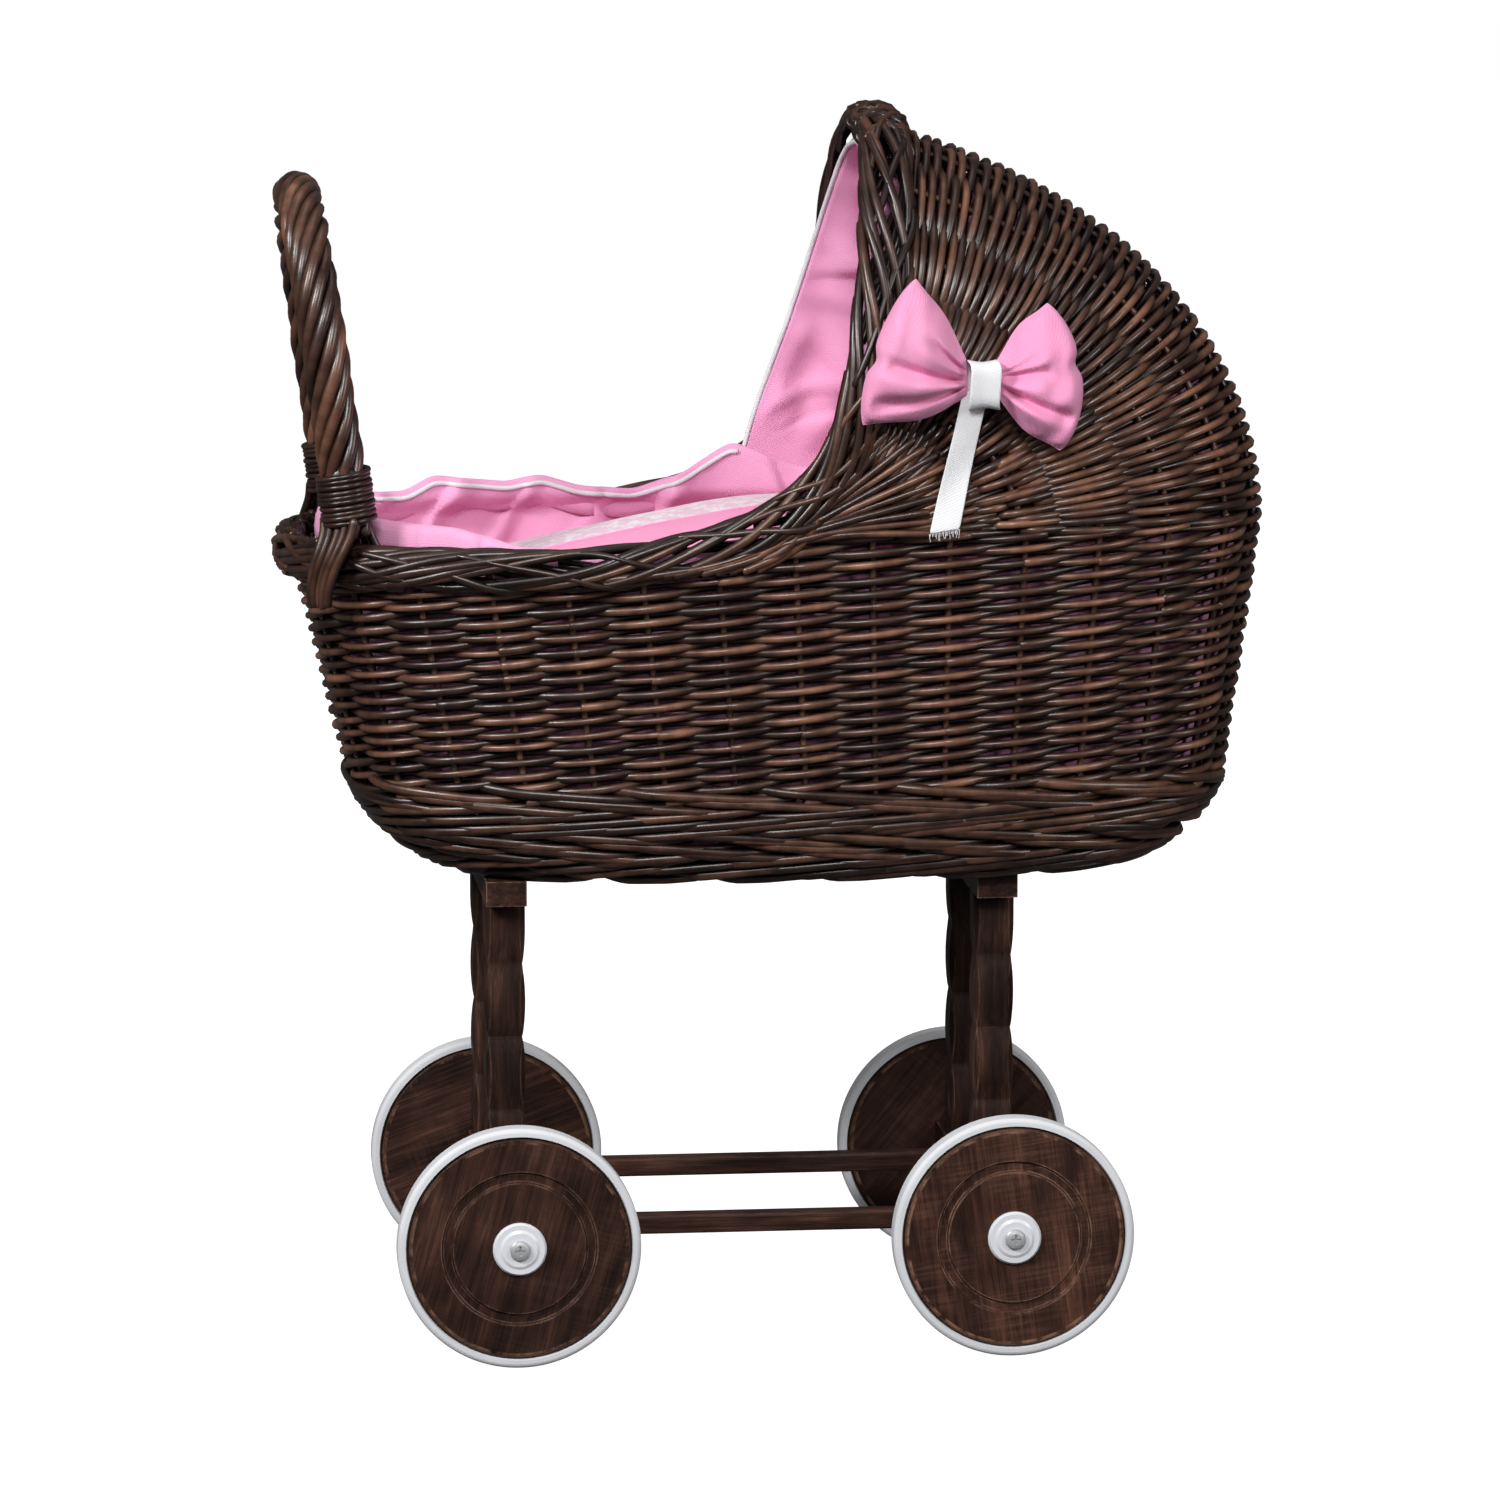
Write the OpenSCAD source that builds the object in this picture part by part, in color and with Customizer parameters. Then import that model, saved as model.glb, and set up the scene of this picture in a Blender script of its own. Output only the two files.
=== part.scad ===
// Doll stroller: a woven willow basket with a fanned hood, a twisted rope handle
// and a padded cotton lining, on a wooden frame with four turning wooden wheels.
// +X points to the hood end, -Y is the near side, +Z is up. The origin lies on the floor
// below the middle of the basket.

/* [Wheels] */
// Outer radius of a wheel with its tyre
wheel_r = 62.5; // [58:0.5:66]
// Distance between the foot and head wheel centres
wheelbase = 254.8; // [240:0.2:262]
// How far the middle of the wheelbase lies towards the foot
wheel_shift = 12.2; // [10:0.1:14]
// Distance from the middle plane to a wheel's centre plane
wheel_y = 120; // [119:0.5:124]
// Thickness of a wheel disc
wheel_t = 12; // [10:0.5:13]
// Radial thickness of the tyre
tyre_t = 4.7; // [3.5:0.1:6]
// Radius of the hub bush's flange
hub_r = 13.75; // [12:0.25:16]
// Radius of a wheel screw's shank
screw_r = 2.5; // [2:0.1:3]
// Radial running clearance between shank and bush
running_gap = 0.08; // [0.03:0.01:0.1]

/* [Frame] */
// Width of the axle beams and of the legs' joints
beam_w = 20; // [18:0.5:22]
// Height of the axle beams
beam_h = 26; // [22:1:30]
// Half distance between the near and far legs
leg_y = 48; // [42:1:54]
// How far the legs stand off the axles towards the foot
leg_shift = 1.8; // [0:0.1:3]
// Widest part of a leg
leg_w = 21; // [18:0.5:23]
// Depth of the scallops cut into each leg face
scallop = 1.9; // [0.5:0.1:3]
// Distance between two scallops
scallop_pitch = 38; // [32:1:44]
// Height of the cross bearers
bearer_h = 13; // [11:0.5:16]
// Length of the cross bearers
bearer_l = 140; // [130:1:146]
// Side length of the rails
rail_w = 10.5; // [9:0.5:12]
// Half distance between the two rails
rail_y = 71; // [68:1:76]

/* [Basket] */
// Height of the basket's underside above the floor
basket_z = 243; // [236:1:248]
// Half width of the basket at the rim
half_w = 115; // [112:0.5:116]
// Length from the middle to the rim at the head end
head_l = 257.8; // [254:0.2:260]
// Length from the middle to the basket wall at the foot end
foot_l = 252.2; // [248:0.2:254]
// Half width of the flat base
base_w = 75; // [72:0.5:78]
// Thickness of the woven wall
wall_t = 10; // [9:0.25:11]
// Radius of the rods
rod_r = 2.2; // [1.8:0.1:2.6]

/* [Hood] */
// Height of the axis that the hood's rows fan out from
pivot_z = 424; // [420:1:428]
// Distance from that axis to the hood's crest at its front edge
crest_r = 211.5; // [200:0.5:216]
// Angle of the hood's front edge above the horizontal
front_angle = 74; // [68:1:78]
// How far the two sides of the front edge lean apart
hood_lean = 10; // [0:1:14]

/* [Handle] */
// Radius of the twisted rope
rope_r = 11.5; // [10:0.25:12]
// Half distance between the handle's arms
handle_y = 75; // [70:1:78]
// Height of the rope's centre line at the top
handle_z = 592; // [570:1:600]
// How far the top leans out beyond the rim
handle_lean = 22.5; // [10:0.5:24]

/* [Hidden] */
$fn = 48;

// Colours
WILLOW = "#3b261d";
STAIN = "#4a3026";
PINK = "#f09cc8";
WHITE = "#ededf0";
STEEL = "#b9bbbf";

// Frame: every axle, leg and bearer stands at one of the two wheel stations
foot_x = -wheelbase / 2 - wheel_shift;
head_x = wheelbase / 2 - wheel_shift;
ENDS = [["foot", foot_x], ["head", head_x]];
SIDES = [["near", -1], ["far", 1]];
disc_r = wheel_r - tyre_t;
flange_t = 2.5;
dome_t = 0.7;
sleeve_r = 6;
washer_t = 1.5;
end_gap = 0.25;
beam_end = wheel_y - wheel_t / 2 - washer_t - 2 * end_gap;
beam_top = wheel_r + beam_h / 2;
bearer_z = basket_z - bearer_h;
dowel_r = 4;
dowel_l = 24;
pin_r = 2;
pin_l = 20;
base_t = 6;
bearer_screw_r = 2;
bearer_screw_y = 26;

// Basket: superellipse plans whose size follows a quarter-ellipse corner and then a flare
plan_n = 3;
plan_steps = 48;
corner_h = 56;
corner_l = 60;
corner_w = 22;
foot_flare = 44;
head_flare = 24;
side_flare = 18;
flare_h = 181;
rim_z = 420;
border_half_h = 11;
border_half_t = 8;
wall_top_foot = rim_z - 2 * border_half_h;
base_foot = foot_l - foot_flare - corner_l;
base_head = head_l - head_flare - corner_l;

// Soft parts: distances inside the outer face of the wall
liner_gap = 0.9;
hood_liner_gap = 2;
liner_t = 1.6;
piping_r = 1.6;
liner_rise = 8;
liner_tuck = 9;

// Hood: how square its arches are, at the rim and at the front edge
arch_n_back = 3;
arch_n_front = 2.4;
fan_r = 16;
hood_rows = 11;
hood_cols = 14;
lean_h = 63;
border_clear = 13;
liner_reach = 5;
front_border_half_w = 14.5;
front_border_half_t = 10;

// Handle: straight arms with an arch on top
handle_foot_z = 427;
arch_z = 505;
binding_h = 29;
binding_t = 3;
splay_rods = 5;
splay_end_z = 390;

// Bows: where the middle of each lies on the hood's side, and its two loops as rows of
// [along, up, distance off the weave], which stand off further over the front border
bow_z = 502;
bow_x_near = 98;
bow_x_far = 78;
bow_stand = 12;
loop_r = 6.5;
tip_r = 4.5;
band_w = 16;
band_h = 24;
band_t = 17;
LOOPS = [[[-15.5, 3, 12], [-34, 49, 15], [-54, 15, 20], [-51, -16, 19]],
    [[15.5, 1, 12], [36, 37, 12], [48, 1, 12], [34, -28, 12]]];
tail_w = 15;

function smooth(v) = let (c = min(1, max(0, v))) c * c * (3 - 2 * c);
function unit(v) = v / norm(v);
function power(v, p) = sign(v) * pow(abs(v), p);

// Quarter-ellipse growth of the plan above the base, 0 at the base and 1 above the corner
function corner(z) = let (q = 1 - min(1, (z - basket_z) / corner_h)) sqrt(max(0, 1 - q * q));
function flare(z) = (z - basket_z) / flare_h;

// A point of the basket's plan at height z, inset from the outer face
function plan(u, z, inset) =
    let (foot = base_foot + corner_l * corner(z) + foot_flare * flare(z),
         head = base_head + corner_l * corner(z) + head_flare * flare(z),
         side = base_w + corner_w * corner(z) + side_flare * flare(z) + half_w - 115)
    [(head - foot) / 2 + ((head + foot) / 2 - inset) * power(cos(u), 2 / plan_n),
     (side - inset) * power(sin(u), 2 / plan_n)];

function ring(z, inset) =
    [for (i = [0:plan_steps - 1]) let (p = plan(360 * i / plan_steps, z, inset)) [p[0], p[1], z]];

// Height of the wall's top edge: under the border at the foot, up to the hood's first row
function wall_top(x) = wall_top_foot + (pivot_z - wall_top_foot) * smooth((x + 70) / 110);
function liner_top(x) = pivot_z - 0.6 + liner_rise * (1 - smooth((x + 160) / 80));

// A ring of the wall at fraction f of its height, thinned by inset and raised by lift at the base
function wall_ring(f, inset, lift) =
    [for (i = [0:plan_steps - 1])
        let (u = 360 * i / plan_steps,
             top = wall_top(plan(u, pivot_z, 0)[0]),
             z = basket_z + f * (top - basket_z),
             p = plan(u, z, inset * corner(z)))
        [p[0], p[1], z + lift * (1 - f)]];

// The liner leans inwards where it stands above the rim
function liner_ring(f, inset, lift) =
    [for (i = [0:plan_steps - 1])
        let (u = 360 * i / plan_steps,
             top = liner_top(plan(u, pivot_z, 0)[0]),
             z = basket_z + f * (top - basket_z),
             tuck = liner_tuck * smooth((z - 414) / 12),
             p = plan(u, z, liner_gap + (inset - liner_gap) * corner(z) + tuck))
        [p[0], p[1], z + lift * (1 - f)]];

// Closed solid through rings of equal size: wrapped round, or capped at both ends
module loft(rings, wrap = false, fold_caps = false) {
    k = len(rings[0]);
    n = len(rings);
    sides = [for (i = [0:n - (wrap ? 1 : 2)], j = [0:k - 1])
        let (a = i * k, b = ((i + 1) % n) * k, m = (j + 1) % k)
        each [[a + j, b + j, b + m], [a + j, b + m, a + m]]];
    last = (n - 1) * k;
    flat = [[for (j = [0:k - 1]) j], [for (j = [k - 1:-1:0]) last + j]];
    folded = concat([for (j = [0:k / 2 - 2]) [j, j + 1, k - 2 - j, k - 1 - j]],
        [for (j = [0:k / 2 - 2]) [last + k - 1 - j, last + k - 2 - j, last + j + 1, last + j]]);
    caps = wrap ? [] : fold_caps ? folded : flat;
    polyhedron([for (r = rings) each r], concat(sides, caps), convexity = 10);
}

// Oval tube along a path. The first radius points away from centre, the second lies across it
module tube(path, centre, r_out, r_across, steps) {
    n = len(path);
    loft([for (i = [0:n - 1])
        let (t = unit(path[min(n - 1, i + 1)] - path[max(0, i - 1)]),
             d = path[i] - centre,
             out = unit(d - t * (d * t)),
             across = cross(t, out))
        [for (j = [0:steps - 1])
            let (a = 360 * j / steps) path[i] + r_out * cos(a) * out + r_across * sin(a) * across]]);
}

// Round rod from one point to another
module rod(from, to, r) {
    d = to - from;
    translate(from) rotate([0, acos(d[2] / norm(d)), atan2(d[1], d[0])]) cylinder(r = r, h = norm(d));
}

// Cushion-like solid with a superellipse plan and a rounded edge
module cushion(centre, half, n_plan, n_edge, crown = 0, rise = 0) {
    levels = [for (a = [-75:15:75]) a];
    loft([for (a = levels)
        let (q = power(cos(a), 2 / n_edge), h = power(sin(a), 2 / n_edge))
        [for (i = [0:plan_steps / 2 - 1])
            let (u = 720 * i / plan_steps,
                 x = q * power(cos(u), 2 / n_plan),
                 y = q * power(sin(u), 2 / n_plan),
                 bulge = h > 0 ? (crown + rise * x) * (1 - q * q) : 0)
            centre + [half[0] * x, half[1] * y, half[2] * h + bulge]]]);
}

// ---- basket ----
module basket_base() color(WILLOW) difference() {
    translate([0, 0, basket_z]) linear_extrude(base_t)
        polygon([for (p = ring(basket_z, 0)) [p[0], p[1]]]);
    bearer_screw_places() cylinder(r = bearer_screw_r, h = bearer_h + base_t - 1);
}

module basket_wall() color(WILLOW) {
    levels = [0, 0.03, 0.08, 0.16, 0.3, 0.5, 0.75, 1];
    loft(concat([for (f = levels) wall_ring(f, 0, 0)],
        [for (i = [len(levels) - 1:-1:0]) wall_ring(levels[i], wall_t, base_t)]), wrap = true);
}

// ---- hood ----
// Distance from the fan axis to the hood's crest in the row at angle th
function crest(th) = crest_r + (head_l - crest_r) * pow(max(0, cos(90 * th / 77)), 2.3);
function arch_n(th) = arch_n_back + (arch_n_front - arch_n_back) * th / front_angle;

// Sideways lean of the front edge: strongest a little above the fan axis
function lean(y, z, fade) =
    let (h = max(0, (z - pivot_z) / lean_h)) -hood_lean * y / half_w * pow(h * exp(1 - h), 2) * fade;

// A point of the hood: row angle th, place ph along the arch from near (0) to far (180)
function hood_pt(th, ph, inset) =
    let (n = arch_n(th),
         r = (crest(th) - inset) * pow(sin(ph), 2 / n),
         y = -(half_w - inset) * power(cos(ph), 2 / n),
         z = pivot_z + r * sin(th))
    [r * cos(th) + lean(y, z, pow(th / front_angle, 2)), y, z];

// Row angle of the middle of the front border, and of the woven edge behind it
function edge_angle(ph) = front_angle - 12 * pow(1 - sin(ph), 1.5);
function edge_radius(ph) = crest_r * pow(sin(ph), 2 / arch_n_front);
function woven_angle(ph, clear) = max(5, edge_angle(ph) - asin(min(0.9, clear / edge_radius(ph))));

arch_from = asin(pow(fan_r / crest_r, arch_n_front / 2));
ARCH = [for (i = [-hood_cols:hood_cols]) 90 + (90 - arch_from) * power(i / hood_cols, 0.8)];

// Curved skin of the hood between two insets
module hood_skin(outer, inner, clear) {
    loft([for (i = [len(ARCH) - 1:-1:0])
        let (ph = ARCH[i], last = woven_angle(ph, clear))
        concat([for (j = [0:hood_rows]) hood_pt(last * j / hood_rows, ph, outer)],
            [for (j = [hood_rows:-1:0]) hood_pt(last * j / hood_rows, ph, inner)])],
        fold_caps = true);
}

module hood() color(WILLOW) hood_skin(0, wall_t, border_clear + 3);

// ---- borders ----
sweep_x = -100;
sweep_from = 12;
border_mid_z = rim_z - border_half_h;

// The rim border's middle line, round the foot end
function rim_mid(u) = let (p = plan(u, rim_z, 1.5)) [p[0], p[1], border_mid_z];
sweep_u = 90 + asin(pow(-sweep_x / foot_l, plan_n / 2));

module rim_border() color(WILLOW)
    tube([for (i = [0:32]) rim_mid(360 - sweep_u + (2 * sweep_u - 360) * i / 32)],
        [0, 0, border_mid_z], border_half_t, border_half_h, 10);

// The front border's middle line: a curve up from the rim, then the arch over the hood
function front_arch(ph) =
    let (r = edge_radius(ph),
         th = edge_angle(ph),
         y = -half_w * power(cos(ph), 2 / arch_n_front),
         z = pivot_z + r * sin(th))
    [r * cos(th) + lean(y, z, 1), y, z];
function bezier(p, t) =
    pow(1 - t, 3) * p[0] + 3 * t * pow(1 - t, 2) * p[1] + 3 * t * t * (1 - t) * p[2] + pow(t, 3) * p[3];
function sweep_up(side) =
    let (start = rim_mid(sweep_u),
         y = side * start[1],
         top = front_arch(side < 0 ? sweep_from : 180 - sweep_from),
         from = [start[0] + 2.5, y, start[2]],
         pulls = [[-40, y, border_mid_z + 6], [top[0] - 10, y, pivot_z + 5]])
    [for (i = [0:9]) bezier([from, pulls[0], pulls[1], top], i / 10)];
FRONT = concat(sweep_up(-1), [for (i = [0:24]) front_arch(sweep_from + (180 - 2 * sweep_from) * i / 24)],
    [for (i = [9:-1:0]) sweep_up(1)[i]]);

// The section grows from the rim border's to the front border's
module hood_border() color(WILLOW) {
    n = len(FRONT) - 1;
    centre = [0, 0, pivot_z - 20];
    loft([for (i = [0:n])
        let (t = unit(FRONT[min(n, i + 1)] - FRONT[max(0, i - 1)]),
             d = FRONT[i] - centre,
             out = unit(d - t * (d * t)),
             across = cross(t, out),
             g = smooth(min(i, n - i) / 16),
             r_out = border_half_t + (front_border_half_t - border_half_t) * g,
             r_across = border_half_h + (front_border_half_w - border_half_h) * g)
        [for (a = [0:36:324]) FRONT[i] + r_out * cos(a) * out + r_across * sin(a) * across]]);
}

// ---- handle ----
handle_x = plan(180 - asin(pow(handle_y / half_w, plan_n / 2)), rim_z, 0)[0] + 5;
function handle_at(y, z) =
    [handle_x - handle_lean * (z - handle_foot_z) / (handle_z - handle_foot_z), y, z];
HANDLE = concat([for (z = [handle_foot_z:26:arch_z - 1]) handle_at(-handle_y, z)],
    [for (a = [0:9:180])
        handle_at(-handle_y * power(cos(a), 2 / 2.3), arch_z + (handle_z - arch_z) * pow(sin(a), 2 / 2.3))],
    [for (z = [arch_z - 0.5 - (arch_z - handle_foot_z) % 26:-26:handle_foot_z]) handle_at(handle_y, z)],
    [handle_at(handle_y, handle_foot_z)]);

// Direction out of the basket in plan, where an arm meets the rim
rim_out = unit([-pow(-handle_x, plan_n - 1) / pow(foot_l, plan_n),
    pow(handle_y, plan_n - 1) / pow(half_w, plan_n)]);

module handle_rope() color(WILLOW) {
    tube(HANDLE, [handle_x, 0, handle_foot_z], rope_r, rope_r, 12);
    for (side = [-1, 1], i = [0:splay_rods - 1]) {
        spread = (i - (splay_rods - 1) / 2) * 2 * rod_r;
        out = [rim_out[0], side * rim_out[1], 0];
        along = [rim_out[1], -side * rim_out[0], 0];
        start = [handle_x, side * handle_y, handle_foot_z];
        rod(start + out * 9 + along * spread * 0.9,
            start + out * 16 + along * spread * 1.15 + [0, 0, splay_end_z - handle_foot_z], rod_r * 0.98);
    }
}

module handle_binding(side) color(WILLOW) {
    foot = handle_at(side * handle_y, handle_foot_z);
    tilt = atan(handle_lean / (handle_z - handle_foot_z));
    translate(foot) rotate([0, -tilt, 0]) difference() {
        translate([0, 0, 2.5]) cylinder(r = rope_r + binding_t, h = binding_h);
        cylinder(r = rope_r + 0.1, h = binding_h + 4);
    }
}

// ---- lining and bedding ----
module basket_liner() color(PINK) {
    levels = [0, 0.03, 0.08, 0.16, 0.3, 0.5, 0.75, 0.93, 1];
    loft(concat([for (f = levels) liner_ring(f, wall_t + liner_gap, base_t + 0.1)],
        [for (i = [len(levels) - 1:-1:0])
            liner_ring(levels[i], wall_t + liner_gap + liner_t, base_t + 0.1 + liner_t)]));
}

module hood_liner() color(PINK)
    hood_skin(wall_t + hood_liner_gap, wall_t + hood_liner_gap + liner_t, -liner_reach);

module liner_piping() color(WHITE) {
    inset = wall_t + liner_gap + liner_t / 2;
    hood_inset = wall_t + hood_liner_gap + liner_t / 2;
    tube([for (i = [0:24])
        let (u = 110 + 140 * i / 24, x = plan(u, pivot_z, 0)[0], z = liner_top(x) + piping_r + 0.1,
             p = plan(u, z - piping_r, inset + liner_tuck * smooth((z - piping_r - 414) / 12)))
        [p[0], p[1], z]], [0, 0, rim_z], piping_r, piping_r, 6);
    reach = liner_reach + piping_r + 0.3;
    tube([for (i = [0:24])
        let (ph = 12 + 156 * i / 24) hood_pt(woven_angle(ph, -reach), ph, hood_inset)],
        [0, 0, pivot_z], piping_r, piping_r, 6);
}

module mattress() color(WHITE) cushion([6, 0, basket_z + base_t + 30], [185, 83, 27], 3, 5);
module duvet() color(PINK) cushion([-56, 0, 362], [126, 93, 54], 3.2, 3.2, 18, 10);
module pillow() color(PINK) cushion([140, 0, 372], [68, 84, 63], 3, 2.6, 12);

// ---- bows ----
// Half width of the hood's outer face over a point of the side view
function hood_side(x, z) =
    let (th = atan2(z - pivot_z, x), r = norm([x, z - pivot_z]), n = arch_n(th))
    half_w * pow(1 - pow(min(1, r / crest(th)), n), 1 / n);
function on_hood(x, z, side, stand) = [x, side * (hood_side(x, z) + stand), z];

module bow(side, x) color(PINK) for (loop = LOOPS) hull() for (i = [0:3])
    translate(on_hood(x + loop[i][0], bow_z + loop[i][1], side, loop[i][2]))
        sphere(r = i == 0 ? loop_r : tip_r, $fn = 20);

module bow_band(side, x) color(WHITE)
    translate(on_hood(x, bow_z, side, bow_stand)) cube([band_w, band_t, band_h], center = true);

module bow_tail(side, x) color(WHITE) {
    top = [x - 6, bow_z - 14];
    end = [x - 21, bow_z - 76];
    w = side * tail_w / 2;
    loft([for (i = [0:6])
        let (p = top + (end - top) * i / 6)
        [for (c = [[w, 2], [-w, 2], [-w, 3], [w, 3]]) on_hood(p[0] + c[0], p[1], side, c[1])]]);
}

// ---- frame ----
module bearer_screw_places() for (e = ENDS, s = [-1, 1])
    translate([e[1] - leg_shift, s * bearer_screw_y, bearer_z]) children();

module dowel_places() for (e = ENDS, s = [-1, 1], z = [beam_top, bearer_z])
    translate([e[1] - leg_shift, s * leg_y, z - dowel_l / 2]) children();

module rail_pin_places() for (x = [foot_x + beam_w / 2, head_x - beam_w / 2], s = [-1, 1])
    translate([x - pin_l / 2, s * rail_y, wheel_r]) rotate([0, 90, 0]) children();

module bearer(x) color(STAIN) difference() {
    translate([x - leg_shift - leg_w / 2, -bearer_l / 2, bearer_z]) cube([leg_w, bearer_l, bearer_h]);
    bearer_screw_places() translate([0, 0, -1]) cylinder(r = bearer_screw_r, h = bearer_h + 2);
    dowel_places() cylinder(r = dowel_r, h = dowel_l - 2);
}

module bearer_screws() color(STEEL) bearer_screw_places() {
    cylinder(r = bearer_screw_r, h = bearer_h + base_t - 1);
    translate([0, 0, -2]) cylinder(r = 2 * bearer_screw_r, h = 2);
}

module leg_dowels() color(STAIN) dowel_places() cylinder(r = dowel_r, h = dowel_l - 2);

// Outline of a leg seen square on: its edges wave with the scallops
leg_l = bearer_z - beam_top;
first_scallop = 33;
function leg_half(h) =
    let (d = max(leg_l - h, first_scallop - scallop_pitch / 2) - first_scallop)
    leg_w / 2 - scallop + scallop * pow(abs(sin(180 * d / scallop_pitch)), 0.7);
LEG = [for (i = [0:48]) [leg_half(leg_l * i / 48), leg_l * i / 48]];
module leg_outline() polygon(concat(LEG, [for (i = [48:-1:0]) [-LEG[i][0], LEG[i][1]]]));

module leg_profile() translate([0, leg_w, 0]) rotate([90, 0, 0]) linear_extrude(2 * leg_w)
    leg_outline();

// Scalloped on all four faces, with the corners taken off
module leg(x, side) color(STAIN) difference() {
    translate([x - leg_shift, side * leg_y, beam_top]) intersection() {
        leg_profile();
        rotate([0, 0, 90]) leg_profile();
        rotate([0, 0, 45]) translate([0, 0, leg_l / 2])
            cube([leg_w * 1.22, leg_w * 1.22, leg_l], center = true);
    }
    dowel_places() cylinder(r = dowel_r, h = dowel_l - 2);
}

module axle_beam(x) color(STAIN) difference() {
    translate([x - beam_w / 2, -beam_end, wheel_r - beam_h / 2]) cube([beam_w, 2 * beam_end, beam_h]);
    for (s = [-1, 1]) translate([x, s * (beam_end - screw_bite), wheel_r]) rotate([-90 * s, 0, 0])
        cylinder(r = screw_r, h = screw_bite + 1);
    dowel_places() cylinder(r = dowel_r, h = dowel_l - 2);
    rail_pin_places() cylinder(r = pin_r, h = pin_l);
}

module rail(side) color(STAIN) difference() {
    translate([foot_x + beam_w / 2, side * rail_y, wheel_r]) rotate([90, 0, 90])
        linear_extrude(head_x - foot_x - beam_w) rounded_square(rail_w, 2);
    rail_pin_places() cylinder(r = pin_r, h = pin_l);
}

module rail_pins() color(STEEL) rail_pin_places() cylinder(r = pin_r, h = pin_l);

// Square with round corners, centred
module rounded_square(w, r) polygon([for (c = [0:3], a = [0:22.5:90])
    let (k = w / 2 - r, q = 90 * c)
    [k * (cos(q) - sin(q)) + r * cos(q + a), k * (sin(q) + cos(q)) + r * sin(q + a)]]);

// ---- wheels ----
screw_bite = 26;
dome_top = wheel_t / 2 + flange_t + dome_t;
head_r = 5.25;
head_h = 2.3;
chamfer = 1.5;
groove_r = 37;
groove_w = 6;
groove_h = 1.6;

// Places a wheel part at its station, with local +Z pointing out of the stroller
module at_wheel(x, side) translate([x, side * wheel_y, wheel_r]) rotate([-90 * side, 0, 0]) children();

module disc() color(STAIN) {
    face = wheel_t / 2;
    half = groove_w / 2;
    rotate_extrude($fn = 96) polygon([
        [sleeve_r, -face], [disc_r - chamfer, -face],
        [disc_r, chamfer - face], [disc_r, face - chamfer],
        [disc_r - chamfer, face], [groove_r + half, face],
        [groove_r + half - 1, face - groove_h], [groove_r - half + 1, face - groove_h],
        [groove_r - half, face], [sleeve_r, face]]);
}

module tyre() color(WHITE) rotate_extrude($fn = 96)
    polygon(concat([[disc_r, -wheel_t / 2 + 1.5], [disc_r + 0.5, -wheel_t / 2 - 0.4]],
        [for (a = [-75:15:75]) [wheel_r - 3 + 3 * cos(a), (wheel_t / 2 - 1.8) * sign(a) + 2.2 * sin(a)]],
        [[disc_r + 0.5, wheel_t / 2 + 0.4], [disc_r, wheel_t / 2 - 1.5]]));

module hub_bush() color(WHITE) rotate_extrude($fn = 96) polygon([
    [screw_r + running_gap, -wheel_t / 2], [sleeve_r, -wheel_t / 2], [sleeve_r, wheel_t / 2],
    [hub_r, wheel_t / 2], [hub_r, wheel_t / 2 + flange_t * 0.5], [hub_r - 1, wheel_t / 2 + flange_t],
    [hub_r - 3.5, wheel_t / 2 + flange_t], [hub_r - 5, dome_top], [screw_r + running_gap, dome_top]]);

module wheel_screw() color(STEEL) difference() {
    union() {
        translate([0, 0, -wheel_t / 2 - washer_t - 2 * end_gap - screw_bite])
            cylinder(r = screw_r, h = screw_bite + washer_t + 2 * end_gap + wheel_t / 2 + dome_top + 1);
        translate([0, 0, dome_top + end_gap]) rotate_extrude($fn = 48) polygon([
            [0, 0], [head_r, 0], [head_r, head_h * 0.4], [head_r * 0.85, head_h * 0.78],
            [head_r * 0.6, head_h * 0.95], [head_r * 0.3, head_h], [0, head_h]]);
    }
    for (q = [0, 90]) translate([0, 0, dome_top + end_gap + head_h]) rotate([0, 0, q])
        cube([head_r, 1.1, 2.6], center = true);
}

module washer() color(STEEL) translate([0, 0, -wheel_t / 2 - end_gap - washer_t]) difference() {
    cylinder(r = 8, h = washer_t);
    translate([0, 0, -1]) cylinder(r = screw_r + 0.1, h = washer_t + 2);
}

basket_base();
basket_wall();
hood();
rim_border();
hood_border();
handle_rope();
basket_liner();
hood_liner();
liner_piping();
mattress();
duvet();
pillow();
bearer_screws();
leg_dowels();
rail_pins();
for (s = SIDES) {
    handle_binding(s[1]);
    bow(s[1], s[1] < 0 ? bow_x_near : bow_x_far);
    bow_band(s[1], s[1] < 0 ? bow_x_near : bow_x_far);
    bow_tail(s[1], s[1] < 0 ? bow_x_near : bow_x_far);
    rail(s[1]);
}
for (e = ENDS) {
    bearer(e[1]);
    axle_beam(e[1]);
}
for (e = ENDS, s = SIDES) {
    name = str("_", e[0], "_", s[0]);
    leg(e[1], s[1]);
    at_wheel(e[1], s[1]) disc();
    at_wheel(e[1], s[1]) tyre();
    at_wheel(e[1], s[1]) hub_bush();
    at_wheel(e[1], s[1]) wheel_screw();
    at_wheel(e[1], s[1]) washer();
}
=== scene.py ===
"""Looks of the doll stroller: wicker, wood, cotton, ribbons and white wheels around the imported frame."""
import math

import bpy
import numpy as np
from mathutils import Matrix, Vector
from mathutils.bvhtree import BVHTree


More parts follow.
